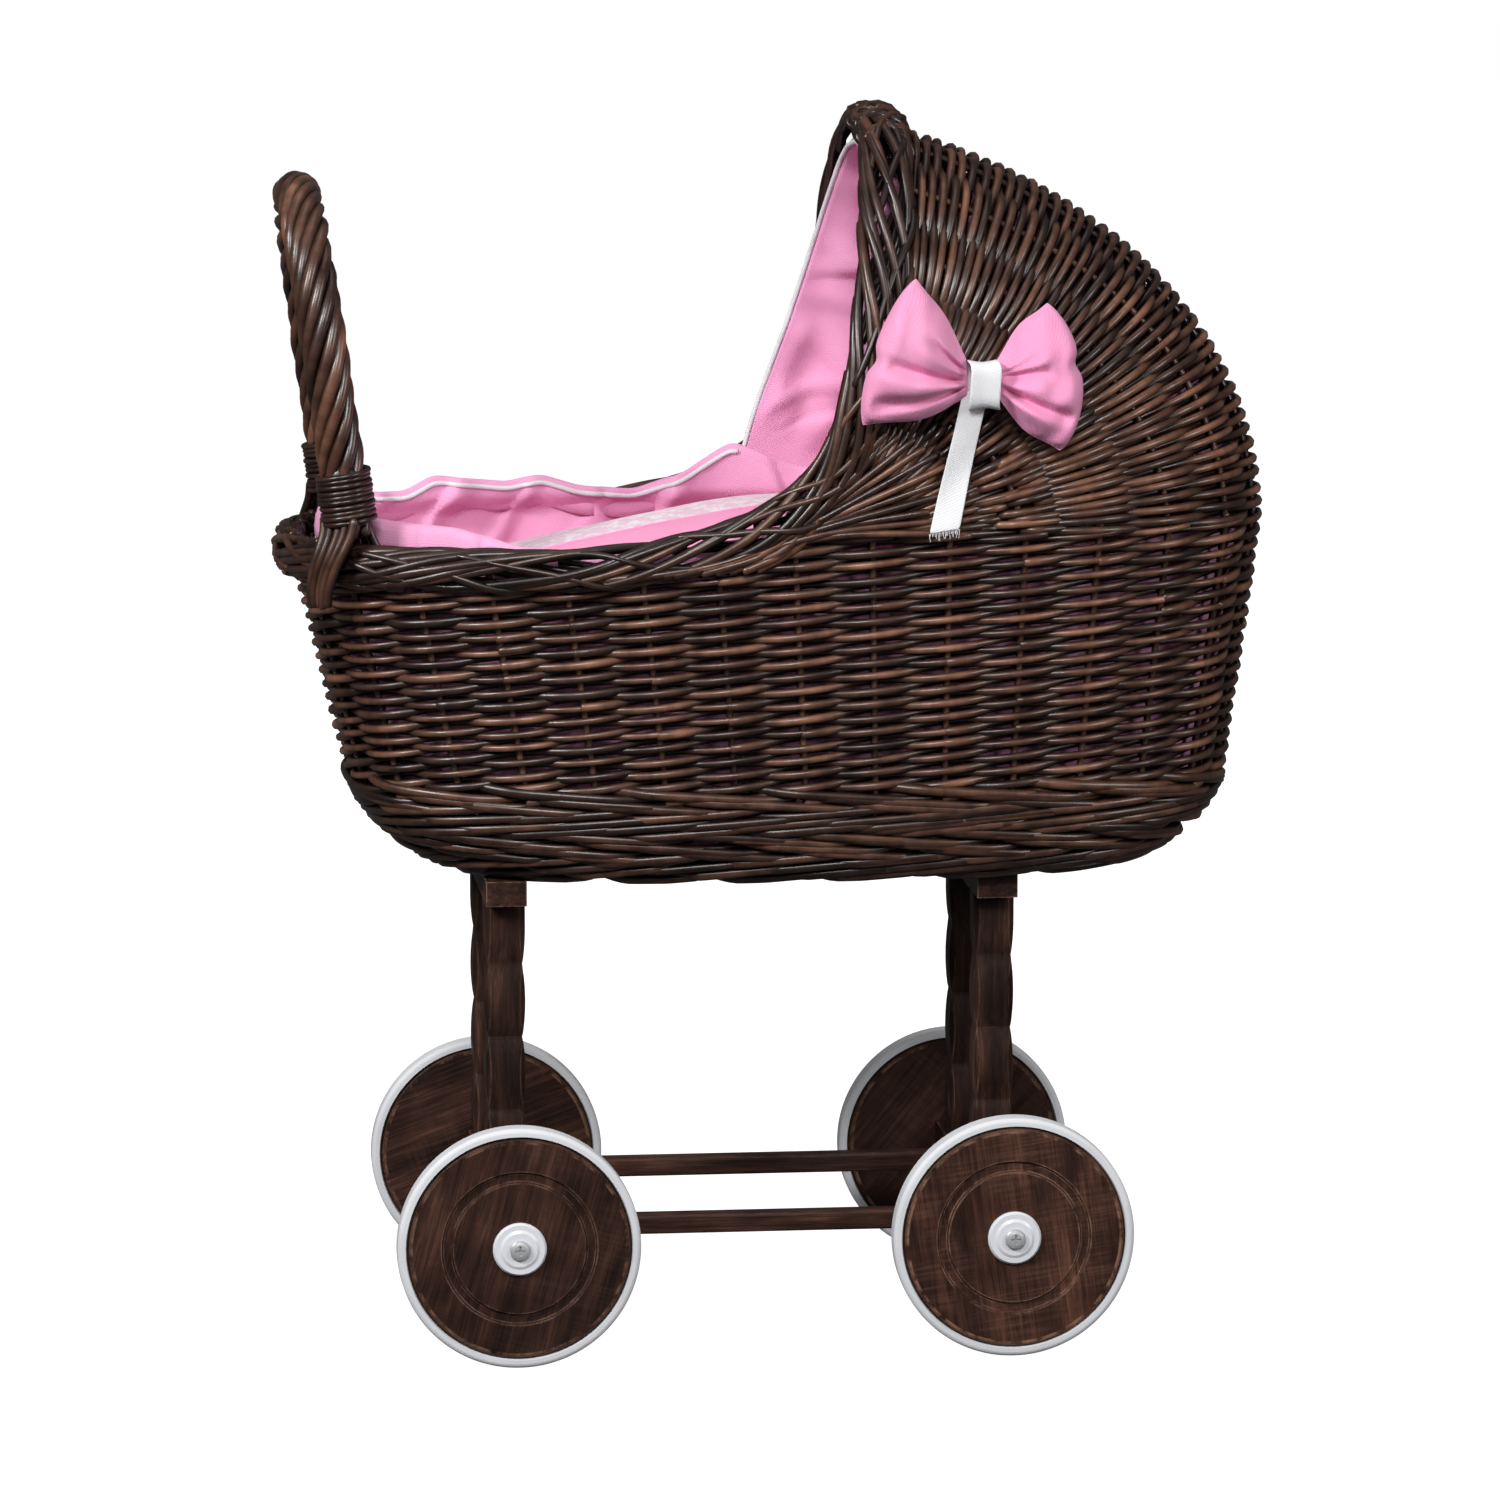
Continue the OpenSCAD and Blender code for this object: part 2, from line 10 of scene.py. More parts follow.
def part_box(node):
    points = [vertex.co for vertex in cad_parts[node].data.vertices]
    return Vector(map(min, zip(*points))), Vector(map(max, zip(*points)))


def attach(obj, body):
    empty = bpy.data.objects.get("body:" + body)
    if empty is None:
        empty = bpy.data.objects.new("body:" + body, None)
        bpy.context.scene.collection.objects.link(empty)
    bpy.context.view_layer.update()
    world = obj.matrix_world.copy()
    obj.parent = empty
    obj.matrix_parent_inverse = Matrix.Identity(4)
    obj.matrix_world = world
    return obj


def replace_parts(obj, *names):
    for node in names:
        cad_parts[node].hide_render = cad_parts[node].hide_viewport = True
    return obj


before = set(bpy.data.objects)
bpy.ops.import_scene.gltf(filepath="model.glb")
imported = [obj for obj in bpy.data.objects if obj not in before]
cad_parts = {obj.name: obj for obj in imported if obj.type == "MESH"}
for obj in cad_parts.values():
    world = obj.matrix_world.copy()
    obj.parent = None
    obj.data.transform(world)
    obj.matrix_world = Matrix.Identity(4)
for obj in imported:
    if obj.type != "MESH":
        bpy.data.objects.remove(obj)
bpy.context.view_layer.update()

rng = np.random.default_rng(7)

# ---------------------------------------------------------------- sizes, in metres
MM = 0.001
BASKET_Z = 0.243            # underside of the basket
FLARE_H = 0.181             # height over which the wall flares
CORNER_H = 0.056            # height, length and width of the rounded lower corner
CORNER_L = 0.060
CORNER_W = 0.022
FOOT_FLARE = 0.044          # how far the foot end, the head end and each side flare
HEAD_FLARE = 0.024
SIDE_FLARE = 0.018
BASE_W = 0.075              # half widths at the underside and at the rim
HALF_W = 0.115
FOOT_L = 0.2522             # how far the rim reaches towards the foot, and towards the head
HEAD_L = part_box("basket_wall")[1].x
PLAN_N = 3.0                # superellipse power of the plan
BASE_FOOT = FOOT_L - FOOT_FLARE - CORNER_L
BASE_HEAD = HEAD_L - HEAD_FLARE - CORNER_L

PIVOT_Z = 0.424             # height of the point from which the hood's rows fan out
CREST_R = 0.2115            # reach of the hood's crest from the pivot
FRONT_ANGLE = 74.0          # degrees up to the hood's front border
ARCH_N_BACK = 3.0           # superellipse powers of the hood's arch
ARCH_N_FRONT = 2.4
HOOD_LEAN = 0.010           # how far the front edge leans, and the height over the pivot where it leans most
LEAN_H = 0.063
BORDER_MID_Z = 0.409        # middle height of the rim's border
SWEEP_X = -0.100            # where the border starts to sweep up to the hood

RIM_Z = 0.420               # height at which the wall's outline places the rim's border and the handle
RIM_LOW_Z = 0.4015          # top of the side weave towards the foot
EDGE_TURN = 12.0            # degrees by which the front border falls back towards the head near the pivot
STAKES = 32                 # upright rods round the basket
ROW = 0.0036                # height between two rows of the side weave
WEAVE_FROM = 0.287          # where the side weave starts, above the heavier base rows
MID = -0.0045               # middle of the weave, below the wall's outer face
SWING = 0.0034              # how far a rod swings in and out round the stakes
DEEPEST = -0.0096           # lowest place of a rod's end, below the wall's outer face
STAKE_R = 1.9 * MM          # radius of an upright rod


# ---------------------------------------------------------------- basket and hood shapes
def smooth(v):
    """Eases from 0 to 1 as v goes from 0 to 1."""
    c = np.clip(v, 0.0, 1.0)
    return c * c * (3 - 2 * c)


def power(v, p):
    """A power that keeps the sign of v."""
    return np.sign(v) * np.abs(v) ** p


def unit(v):
    return v / np.maximum(np.linalg.norm(v, axis=-1, keepdims=True), 1e-12)


def outline_table():
    """Steps round the rim's outline: distance in stakes, and place on a unit superellipse."""
    a = np.radians(np.linspace(-90, 270, 7201))
    half_x, half_y = (FOOT_L + HEAD_L) / 2, HALF_W
    r = (np.abs(np.cos(a) / half_x) ** PLAN_N + np.abs(np.sin(a) / half_y) ** PLAN_N) ** (-1 / PLAN_N)
    x, y = r * np.cos(a), r * np.sin(a)
    s = np.concatenate([[0], np.cumsum(np.hypot(np.diff(x), np.diff(y)))])
    return s / s[-1] * STAKES, x / half_x, y / half_y


TABLE_S, TABLE_X, TABLE_Y = outline_table()


def around(s):
    """Unit outline at s stakes from the near side's middle, turning towards the head end."""
    t = np.mod(np.asarray(s, float), STAKES)
    return np.interp(t, TABLE_S, TABLE_X), np.interp(t, TABLE_S, TABLE_Y)


def corner(z):
    """How far the rounded lower corner has reached its full width at a height, from 0 to 1."""
    q = 1 - np.clip((z - BASKET_Z) / CORNER_H, 0, 1)
    return np.sqrt(np.maximum(0, 1 - q * q))


def wall(s, z, inset=0.0):
    """A point of the basket's wall, inset from its outer face."""
    ex, ey = around(s)
    rise = (z - BASKET_Z) / FLARE_H
    foot = BASE_FOOT + CORNER_L * corner(z) + FOOT_FLARE * rise
    head = BASE_HEAD + CORNER_L * corner(z) + HEAD_FLARE * rise
    side = BASE_W + CORNER_W * corner(z) + SIDE_FLARE * rise
    x = (head - foot) / 2 + ((head + foot) / 2 - inset) * ex
    return np.stack([x, (side - inset) * ey, z + 0 * x], -1)


def crest(th):
    """Reach of the hood from its pivot along the middle of the row at th degrees."""
    return CREST_R + (HEAD_L - CREST_R) * np.maximum(0, np.cos(np.radians(90 * th / 77))) ** 2.3


def arch_n(th):
    """Superellipse power of the row at th degrees."""
    return ARCH_N_BACK + (ARCH_N_FRONT - ARCH_N_BACK) * th / FRONT_ANGLE


def lean(y, z, fade):
    """How far the front edge leans along x, one way on the near side and the other way on the far side."""
    h = np.maximum(0, (z - PIVOT_Z) / LEAN_H)
    return -HOOD_LEAN * y / HALF_W * (h * np.exp(1 - h)) ** 2 * fade


def hood(s, th, inset=0.0):
    """A point of the hood in the row at th degrees, inset from its outer face, over the wall's point at s."""
    ex, ey = around(s)
    n = arch_n(th)
    r = (crest(th) - inset) * np.maximum(ex, 0) ** (3 / n)
    y = (HALF_W - inset) * power(ey, 3 / n)
    z = PIVOT_Z + r * np.sin(np.radians(th))
    return np.stack([r * np.cos(np.radians(th)) + lean(y, z, (th / FRONT_ANGLE) ** 2), y, z], -1)


def hood_side(x, z):
    """Half width of the hood's outer face over a point of the side view."""
    th = np.degrees(np.arctan2(z - PIVOT_Z, x))
    n = arch_n(th)
    r = np.hypot(x, z - PIVOT_Z)
    return HALF_W * (1 - np.minimum(1, r / crest(th)) ** n) ** (1 / n)


def edge_angle(ex):
    """Row angle of the front border's middle where the outline is at ex."""
    return FRONT_ANGLE - EDGE_TURN * np.maximum(0, 1 - np.maximum(ex, 0) ** 1.5) ** 1.5


def edge_radius(ex):
    """Distance of the front border's middle from the pivot, where the outline is at ex."""
    return CREST_R * np.maximum(ex, 1e-6) ** (3 / ARCH_N_FRONT)


def woven_angle(s, clear):
    """Row angle that stays clear of the front border's middle by a distance."""
    ex = around(s)[0]
    turned = np.arcsin(np.clip(clear / edge_radius(ex), -0.9, 0.9))
    return np.maximum(5.0, edge_angle(ex) - np.degrees(turned))


def wall_top(s):
    """Top of the side weave: low at the foot, rising to the hood's level row."""
    rise_from, rise_length = -0.070, 0.110
    x = wall(s, PIVOT_Z)[..., 0]
    return RIM_LOW_Z + (PIVOT_Z - RIM_LOW_Z) * smooth((x - rise_from) / rise_length)


def surface_normal(surface, a, b):
    """Unit outward normal of surface(a, b), by small steps."""
    da, db = 0.02, 1e-4
    if surface is hood:
        db = 0.05
    u = surface(a + da, b) - surface(a - da, b)
    v = surface(a, b + db) - surface(a, b - db)
    return unit(np.cross(u, v))


def off_surface(surface, a, b, out):
    """A point of the surface moved out along its normal."""
    return surface(a, b) + surface_normal(surface, a, b) * np.asarray(out)[..., None]


# ---------------------------------------------------------------- curves
def spline(points, count):
    """A smooth curve through a few points."""
    points = np.asarray(points, float)
    n = len(points)
    ends = np.concatenate([[2 * points[0] - points[1]], points, [2 * points[-1] - points[-2]]])
    t = np.linspace(0, n - 1, count)
    i = np.minimum(t.astype(int), n - 2)
    f = (t - i)[:, None]
    a, b, c, d = (ends[i + k] for k in range(4))
    return 0.5 * (2 * b + (c - a) * f + (2 * a - 5 * b + 4 * c - d) * f ** 2
                  + (3 * b - a - 3 * c + d) * f ** 3)


def resample(line, step, *others):
    """The line at even steps of its length, with any values that go along it."""
    length = np.concatenate([[0], np.cumsum(np.linalg.norm(np.diff(line, axis=0), axis=1))])
    at = np.linspace(0, length[-1], int(length[-1] / step) + 1)
    made = [np.stack([np.interp(at, length, line[:, k]) for k in range(3)], -1)]
    made += [np.interp(at, length, o) for o in others]
    return (at, *made)


def averaged(line, count):
    """Each point of the line averaged with its neighbours; the line gets count - 1 points shorter."""
    kernel = np.ones(count) / count
    return np.stack([np.convolve(line[:, k], kernel, "valid") for k in range(3)], -1)


# ---------------------------------------------------------------- mesh building
def fixed_piece(name, mesh, material):
    """An object that rides on the pram's frame."""
    obj = bpy.data.objects.new(name, mesh)
    bpy.context.scene.collection.objects.link(obj)
    mesh.materials.append(material)
    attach(obj, "frame")
    return obj


class Rods:
    """Many rods in one mesh, keeping each rod's tone and each point's wear and painted highlight for its
    material.
    """

    def __init__(self):
        self.points, self.faces, self.corners = [], [], []
        self.tone, self.wear, self.along = [], [], []
        self.count = 0

    def add(self, path, radius, normal, tone=None, wear=1.0, sides=8):
        """A round rod with blunt ends along a path; its upper side, along the normal, is the most worn and
        carries a painted highlight.
        """
        path = np.asarray(path, float)
        n = len(path)
        radius = np.broadcast_to(np.asarray(radius, float), n).copy()
        normal = np.broadcast_to(np.asarray(normal, float), (n, 3))
        wear = np.broadcast_to(np.asarray(wear, float), n)
        tangent = unit(np.gradient(path, axis=0))
        across = unit(np.cross(tangent, normal))
        up = np.cross(across, tangent)

        def grow(v):
            return np.concatenate([v[:1], v[:1], v, v[-1:], v[-1:]])

        step = np.array([-0.55, -0.4] + [0] * n + [0.4, 0.55])
        path, tangent, across, up, wear, radius = (grow(v) for v in (path, tangent, across, up, wear, radius))
        path = path + tangent * (step * radius)[:, None]
        radius = radius * np.array([0.35, 0.8] + [1] * n + [0.8, 0.35])
        n += 4
        angle = 2 * np.pi * np.arange(sides) / sides
        ring = np.cos(angle)[None, :, None] * up[:, None] + np.sin(angle)[None, :, None] * across[:, None]
        self.points.append((path[:, None] + radius[:, None, None] * ring).reshape(-1, 3))
        i = np.arange(n - 1)[:, None] * sides + np.arange(sides)[None]
        j = np.arange(n - 1)[:, None] * sides + (np.arange(sides)[None] + 1) % sides
        quads = np.stack([i, j, j + sides, i + sides], -1).reshape(-1, 4) + self.count
        self.faces.append(quads)
        self.corners.append(np.arange(sides)[::-1] + self.count)
        self.corners.append(np.arange(sides) + (n - 1) * sides + self.count)
        length = np.concatenate([[0], np.cumsum(np.linalg.norm(np.diff(path, axis=0), axis=1))])
        shade = rng.random() if tone is None else tone
        self.tone.append(np.full(n * sides, shade))
        # Wear and painted highlight: strongest on the side along the normal, none on the side away from it.
        outer = np.clip(np.cos(angle), 0, 1)[None] * wear[:, None]
        self.wear.append(outer.ravel())
        self.along.append(np.repeat(length + rng.random() * 3, sides))
        self.count += n * sides

    def weave(self, surface, a, b, out, radius, wear, tone=None):
        """A rod that keeps a given height over a surface."""
        self.add(off_surface(surface, a, b, out), radius, surface_normal(surface, a, b), tone=tone, wear=wear)

    def build(self, name, material):
        points = np.concatenate(self.points)
        quads = np.concatenate(self.faces)
        caps = self.corners
        mesh = bpy.data.meshes.new(name)
        mesh.vertices.add(len(points))
        mesh.vertices.foreach_set("co", points.astype(np.float32).ravel())
        loops = np.concatenate([quads.ravel()] + caps)
        sizes = np.concatenate([np.full(len(quads), 4), [len(c) for c in caps]])
        mesh.loops.add(len(loops))
        mesh.loops.foreach_set("vertex_index", loops.astype(np.int32))
        mesh.polygons.add(len(sizes))
        starts = np.concatenate([[0], np.cumsum(sizes)[:-1]])
        mesh.polygons.foreach_set("loop_start", starts.astype(np.int32))
        mesh.update(calc_edges=True)
        mesh.validate()
        mesh.shade_smooth()
        for label, values in (("tone", self.tone), ("wear", self.wear), ("along", self.along)):
            layer = mesh.attributes.new(label, "FLOAT", "POINT")
            layer.data.foreach_set("value", np.concatenate(values).astype(np.float32))
        return fixed_piece(name, mesh, material)


def grid_mesh(name, points, material, close_u=False, caps=False, thickness=0.0, levels=1):
    """A sheet or closed skin from rows of points, with thickness and subdivision where asked."""
    rows, cols = points.shape[:2]
    faces = []
    for i in range(rows - 1):
        for j in range(cols if close_u else cols - 1):
            k = (j + 1) % cols
            faces.append((i * cols + j, i * cols + k, (i + 1) * cols + k, (i + 1) * cols + j))
    if caps:
        last = (rows - 1) * cols
        for j in range(cols // 2 - 1):
            k = cols - 1 - j
            faces.append((j + 1, j, k, k - 1))
            faces.append((last + j, last + j + 1, last + k - 1, last + k))
    mesh = bpy.data.meshes.new(name)
    mesh.from_pydata(points.reshape(-1, 3).tolist(), [], faces)
    mesh.shade_smooth()
    obj = fixed_piece(name, mesh, material)
    if thickness:
        solid = obj.modifiers.new("cloth", "SOLIDIFY")
        solid.thickness = thickness
        solid.offset = 0
    if levels:
        sub = obj.modifiers.new("smooth", "SUBSURF")
        sub.levels = sub.render_levels = levels
    return obj


# ---------------------------------------------------------------- materials
class Nodes:
    """Short calls for building one material's node tree."""

    def __init__(self, name):
        self.material = bpy.data.materials.new(name)
        self.material.use_nodes = True
        self.tree = self.material.node_tree
        self.shader = self.tree.nodes["Principled BSDF"]

    def put(self, value, socket):
        """Links another node's output into a socket, or gives the socket a value of its own."""
        if hasattr(value, "is_output"):
            self.tree.links.new(value, socket)
        else:
            socket.default_value = value

    def add(self, kind, sockets=(), **settings):
        """A node with its settings, and with what goes into its sockets as pairs."""
        node = self.tree.nodes.new(kind)
        for key, value in settings.items():
            setattr(node, key, value)
        for key, value in sockets:
            self.put(value, node.inputs[key])
        return node

    def attribute(self, name):
        return self.add("ShaderNodeAttribute", attribute_name=name).outputs["Fac"]

    def coords(self, scale=(1, 1, 1), rotation=(0, 0, 0)):
        """The object's own coordinates, turned first and then stretched."""
        vector = self.add("ShaderNodeTexCoord").outputs["Object"]
        for step in (("Rotation", rotation), ("Scale", scale)):
            vector = self.add("ShaderNodeMapping", [step, ("Vector", vector)]).outputs["Vector"]
        return vector

    def noise(self, vector, scale, detail=3.0, rough=0.5):
        sockets = [("Scale", scale), ("Detail", detail), ("Roughness", rough), ("Vector", vector)]
        return self.add("ShaderNodeTexNoise", sockets).outputs["Fac"]

    def ramp(self, fac, stops):
        node = self.add("ShaderNodeValToRGB", [("Fac", fac)])
        ramp = node.color_ramp
        while len(ramp.elements) < len(stops):
            ramp.elements.new(0.5)
        for element, (at, colour) in zip(ramp.elements, stops):
            element.position = at
            element.color = (*colour, 1)
        return node.outputs["Color"]

    def grey(self, fac, *stops):
        """A ramp between grey levels, each stop a place and a level."""
        return self.ramp(fac, [(at, (level, level, level)) for at, level in stops])

    def math(self, operation, *values):
        return self.add("ShaderNodeMath", enumerate(values), operation=operation).outputs["Value"]

    def times(self, a, b):
        return self.math("MULTIPLY", a, b)

    def mix(self, fac, a, b, blend="MIX"):
        """Colour a with as much of b as fac says; b may be three numbers."""
        if isinstance(b, tuple):
            b = (*b, 1)
        node = self.add("ShaderNodeMix", data_type="RGBA", blend_type=blend)
        for socket, value in ((0, fac), (6, a), (7, b)):
            self.put(value, node.inputs[socket])
        return node.outputs[2]

    def bump(self, height, distance, strength=1.0):
        sockets = [("Distance", distance), ("Strength", strength), ("Height", height)]
        node = self.add("ShaderNodeBump", sockets)
        self.put(node.outputs["Normal"], self.shader.inputs["Normal"])
        return node

    def range(self, value, low, high):
        sockets = [("To Min", low), ("To Max", high), ("Value", value)]
        return self.add("ShaderNodeMapRange", sockets).outputs["Result"]

    def set(self, **values):
        for key, value in values.items():
            self.put(value, self.shader.inputs[key.replace("_", " ")])


def willow_material():
    """Dark brown stained willow with a satin varnish, rubbed paler and given a painted highlight where rods
    stand out, with painted shade where they dip in.
    """
    m = Nodes("willow_stained")
    tone, wear, along = m.attribute("tone"), m.attribute("wear"), m.attribute("along")
    where = m.coords()
    streak_at = m.add("ShaderNodeCombineXYZ", [("X", m.times(along, 9.0)), ("Y", m.times(tone, 37.0))])
    streak = m.noise(streak_at.outputs["Vector"], 6.0, 4.0, 0.6)
    blotch = m.noise(where, 60.0, 3.0)
    # Stain colours, made darker still as painted shade on the rods' inner sides and in the gaps between them.
    dark = m.ramp(tone, [(0.0, (0.0040, 0.0014, 0.0009)), (0.45, (0.0085, 0.0028, 0.0017)),
                         (0.8, (0.0180, 0.0058, 0.0032)), (1.0, (0.0340, 0.0112, 0.0058))])
    # Rubbed colours, made brighter still as a painted highlight.
    pale = m.ramp(tone, [(0.0, (0.068, 0.032, 0.023)), (0.5, (0.200, 0.087, 0.054)),
                         (1.0, (0.410, 0.187, 0.112))])
    # rub: rubbed wear and painted highlight on each rod's outer side, broken up by streaks and blotches.
    rub = m.times(m.times(wear, m.range(streak, 0.0, 1.5)), m.range(blotch, 0.35, 1.25))
    rub = m.math("MINIMUM", rub, 1.0)
    colour = m.mix(rub, dark, pale)
    grime = m.ramp(streak, [(0.30, (0.35, 0.33, 0.33)), (0.58, (1.0, 1.0, 1.0))])
    colour = m.mix(0.8, colour, grime, "MULTIPLY")
    fine = m.noise(where, 900.0, 2.0)
    m.set(Base_Color=colour, Roughness=m.range(blotch, 0.24, 0.44), Specular_IOR_Level=0.5, Coat_Weight=0.15,
          Coat_Roughness=0.18)
    m.bump(m.math("ADD", streak, m.times(fine, 0.4)), 0.00025, 0.5)
    return m.material


def wood_material(name, along="z", turn=0.0, soften=0.0, level=1.0, saw_marks=0.0, rim=None):
    """Dark stained wood with grain along one axis, saw marks across it, darker pores and pale rubbed edges.

    A disc's rim is its middle's x and z and the radius of a worn ring, with a shadow outside it."""
    m = Nodes(name)

    def stretched(amount):
        scale = {"x": (amount, 1, 1), "y": (1, amount, 1), "z": (1, 1, amount)}[along]
        return m.coords(scale, (0, turn, 0))

    broad = m.noise(stretched(0.12), 85.0, 5.0, 0.66)
    fibre = m.noise(stretched(0.045), 420.0, 4.0, 0.6)
    pores = m.noise(stretched(0.03), 1300.0, 2.0)
    patch = m.noise(m.coords(), 38.0, 3.0)
    grain = m.math("ADD", m.times(broad, 0.5), m.times(fibre, 0.3))
    grain = m.math("ADD", grain, m.times(patch, 0.2))
    colour = m.ramp(grain, [(0.37, (0.0090, 0.0034, 0.0022)), (0.47, (0.0250, 0.0098, 0.0064)),
                            (0.55, (0.0480, 0.0195, 0.0125)), (0.66, (0.1150, 0.0500, 0.0320))])
    if saw_marks:
        saw = m.noise(m.coords((0.03, 1, 1), (0, turn + math.pi / 2, 0)), 620.0, 2.0)
        saw = m.times(m.grey(saw, (0.44, 0), (0.60, 1)), m.grey(patch, (0.42, 0), (0.62, 1)))
        colour = m.mix(m.times(saw, saw_marks), colour, (0.125, 0.058, 0.038))
    edge = m.add("ShaderNodeBevel", [("Radius", 0.0014)], samples=6).outputs["Normal"]
    flat = m.add("ShaderNodeNewGeometry").outputs["Normal"]
    facing = m.add("ShaderNodeVectorMath", [(0, edge), (1, flat)], operation="DOT_PRODUCT")
    worn = m.grey(facing.outputs["Value"], (0.90, 1), (0.992, 0))
    rub = m.noise(m.coords(), 110.0, 4.0, 0.6)
    worn = m.times(worn, m.grey(rub, (0.36, 0), (0.58, 0.9)))
    colour = m.mix(worn, colour, (0.25, 0.145, 0.100))
    colour = m.mix(0.7, colour, m.grey(pores, (0.38, 0.50), (0.5, 1)), "MULTIPLY")
    if rim:
        ends = [(0, m.coords((1, 0, 1))), (1, (rim[0], 0, rim[1]))]
        away = m.add("ShaderNodeVectorMath", ends, operation="DISTANCE").outputs["Value"]
        past = m.math("SUBTRACT", away, rim[2])
        ring = m.grey(m.times(m.math("ABSOLUTE", past), 500.0), (0.15, 1), (0.45, 0))
        ring = m.times(ring, m.grey(rub, (0.44, 0), (0.60, 0.8)))
        colour = m.mix(ring, colour, (0.21, 0.110, 0.070))
        shadow = m.ramp(past, [(0.0, (1, 1, 1)), (0.0015, (0.55, 0.5, 0.5))])
        colour = m.mix(0.8, colour, shadow, "MULTIPLY")
    if level != 1.0:
        colour = m.mix(1.0, colour, (level, level, level), "MULTIPLY")
    m.set(Base_Color=colour, Roughness=m.range(patch, 0.42, 0.62), Specular_IOR_Level=0.20)
    relief = m.bump(m.math("ADD", pores, m.times(fibre, 0.8)), 0.0003, 0.7)
    if soften:
        rounded = m.add("ShaderNodeBevel", [("Radius", soften)], samples=8)
        m.put(rounded.outputs["Normal"], relief.inputs["Normal"])
    return m.material


def cloth_material(name, colour, shade, sheen=0.15, panel=None):
    """Cotton: a fine crossed weave, cloudy colour and a little sheen, with a mottled print in the panel."""
    m = Nodes(name)
    place = m.add("ShaderNodeTexCoord").outputs["Object"]
    threads = []
    for turn in ((0, 0, 0.3), (0, 1.2, 1.57)):
        turned = m.add("ShaderNodeMapping", [("Rotation", turn), ("Vector", place)]).outputs["Vector"]
        sockets = [("Scale", THREAD_SCALE), ("Distortion", 0.6), ("Vector", turned)]
        wave = m.add("ShaderNodeTexWave", sockets, wave_type="BANDS", bands_direction="DIAGONAL")
        threads.append(wave.outputs["Fac"])
    cross = m.math("MAXIMUM", threads[0], threads[1])
    cloudy = m.noise(place, 22.0, 3.0)
    fuzz = m.noise(place, 2400.0, 2.0)
    base = m.ramp(cloudy, [(0.3, shade), (0.7, colour)])
    if panel:
        (middle_x, half_x), (middle_y, half_y) = panel
        axes = m.add("ShaderNodeSeparateXYZ", [("Vector", place)])
        inside = 0.0
        for axis, middle, half in (("X", middle_x, half_x), ("Y", middle_y, half_y)):
            off = m.math("DIVIDE", m.math("SUBTRACT", axes.outputs[axis], middle), half)
            inside = m.math("ADD", m.math("POWER", m.math("ABSOLUTE", off), 5.0), inside)
        inside = m.grey(m.times(inside, 0.5), (0.49, 1), (0.50, 0))
        specks = m.noise(place, 160.0, 4.0, 0.65)
        print_colour = m.ramp(specks, [(0.47, (0.78, 0.58, 0.68)), (0.56, (0.88, 0.82, 0.86))])
        base = m.mix(inside, base, print_colour)
    base = m.mix(m.times(cross, 0.20), base, tuple(c * 0.60 for c in shade))
    m.set(Base_Color=base, Roughness=0.78, Sheen_Weight=sheen, Sheen_Roughness=0.4)
    m.bump(m.math("ADD", cross, m.times(fuzz, 0.8)), 0.0003, 0.55)
    return m.material


def plain_material(name, colour, rough, metal=0.0, coat=0.0, mark=0.9):
    """Rubber, plastic or zinc: slight cloudiness, scuffs and a fine grain."""
    m = Nodes(name)
    where = m.coords()
    cloud = m.noise(where, 35.0, 4.0)
    grain = m.noise(where, 1200.0, 2.0)
    tint = m.ramp(cloud, [(0.3, tuple(c * mark for c in colour)), (0.7, colour)])
    m.set(Base_Color=tint, Roughness=m.range(cloud, rough * 0.8, rough * 1.25), Metallic=metal,
          Coat_Weight=coat, Coat_Roughness=0.12)
    m.bump(grain, 0.00012, 0.35)
    return m.material


PINK = (0.90, 0.355, 0.58)
PINK_SHADE = (0.86, 0.310, 0.535)
THREAD_SCALE = 375.0        # scale of the crossed threads' wave texture
PANEL = ((-0.036, 0.120), (0.012, 0.038))   # the printed panel's middle and half size, along x and y
WILLOW = willow_material()
PINK_COTTON = cloth_material("pink_cotton", PINK, PINK_SHADE)
# The pink cotton again, made brighter: painted light on the lining inside the basket and the hood.
PINK_COTTON_PAINTED_LIGHT = cloth_material("pink_cotton_painted_light", (0.91, 0.415, 0.655), (0.88, 0.370, 0.610))
WHITE_COTTON = cloth_material("white_cotton", (0.81, 0.81, 0.83), (0.76, 0.76, 0.79), sheen=0.1)
# The white cotton again, made brighter: painted light on the hanging ribbons, which lie in the bows' shade.
WHITE_COTTON_PAINTED_LIGHT = cloth_material("white_cotton_painted_light", (0.93, 0.93, 0.95), (0.89, 0.89, 0.92), sheen=0.1)
DUVET_COTTON = cloth_material("duvet_cotton", PINK, PINK_SHADE, panel=PANEL)

# ---------------------------------------------------------------- side weave of the basket
STEP = 8                    # points of a rod from one stake to the next


def rod_runs(keep):
    """Index runs along one strand, cut into rods of 4 to 7 double strokes that overlap by half a stroke."""
    start = 0
    while start < len(keep) - STEP:
        stop = min(len(keep), start + STEP * 2 * int(rng.integers(4, 8)) + STEP // 2)
        shown = np.flatnonzero(keep[start:stop]) + start
        for run in np.split(shown, np.flatnonzero(np.diff(shown) > 1) + 1):
            if len(run) >= STEP:
                yield run
        start = stop - STEP // 2


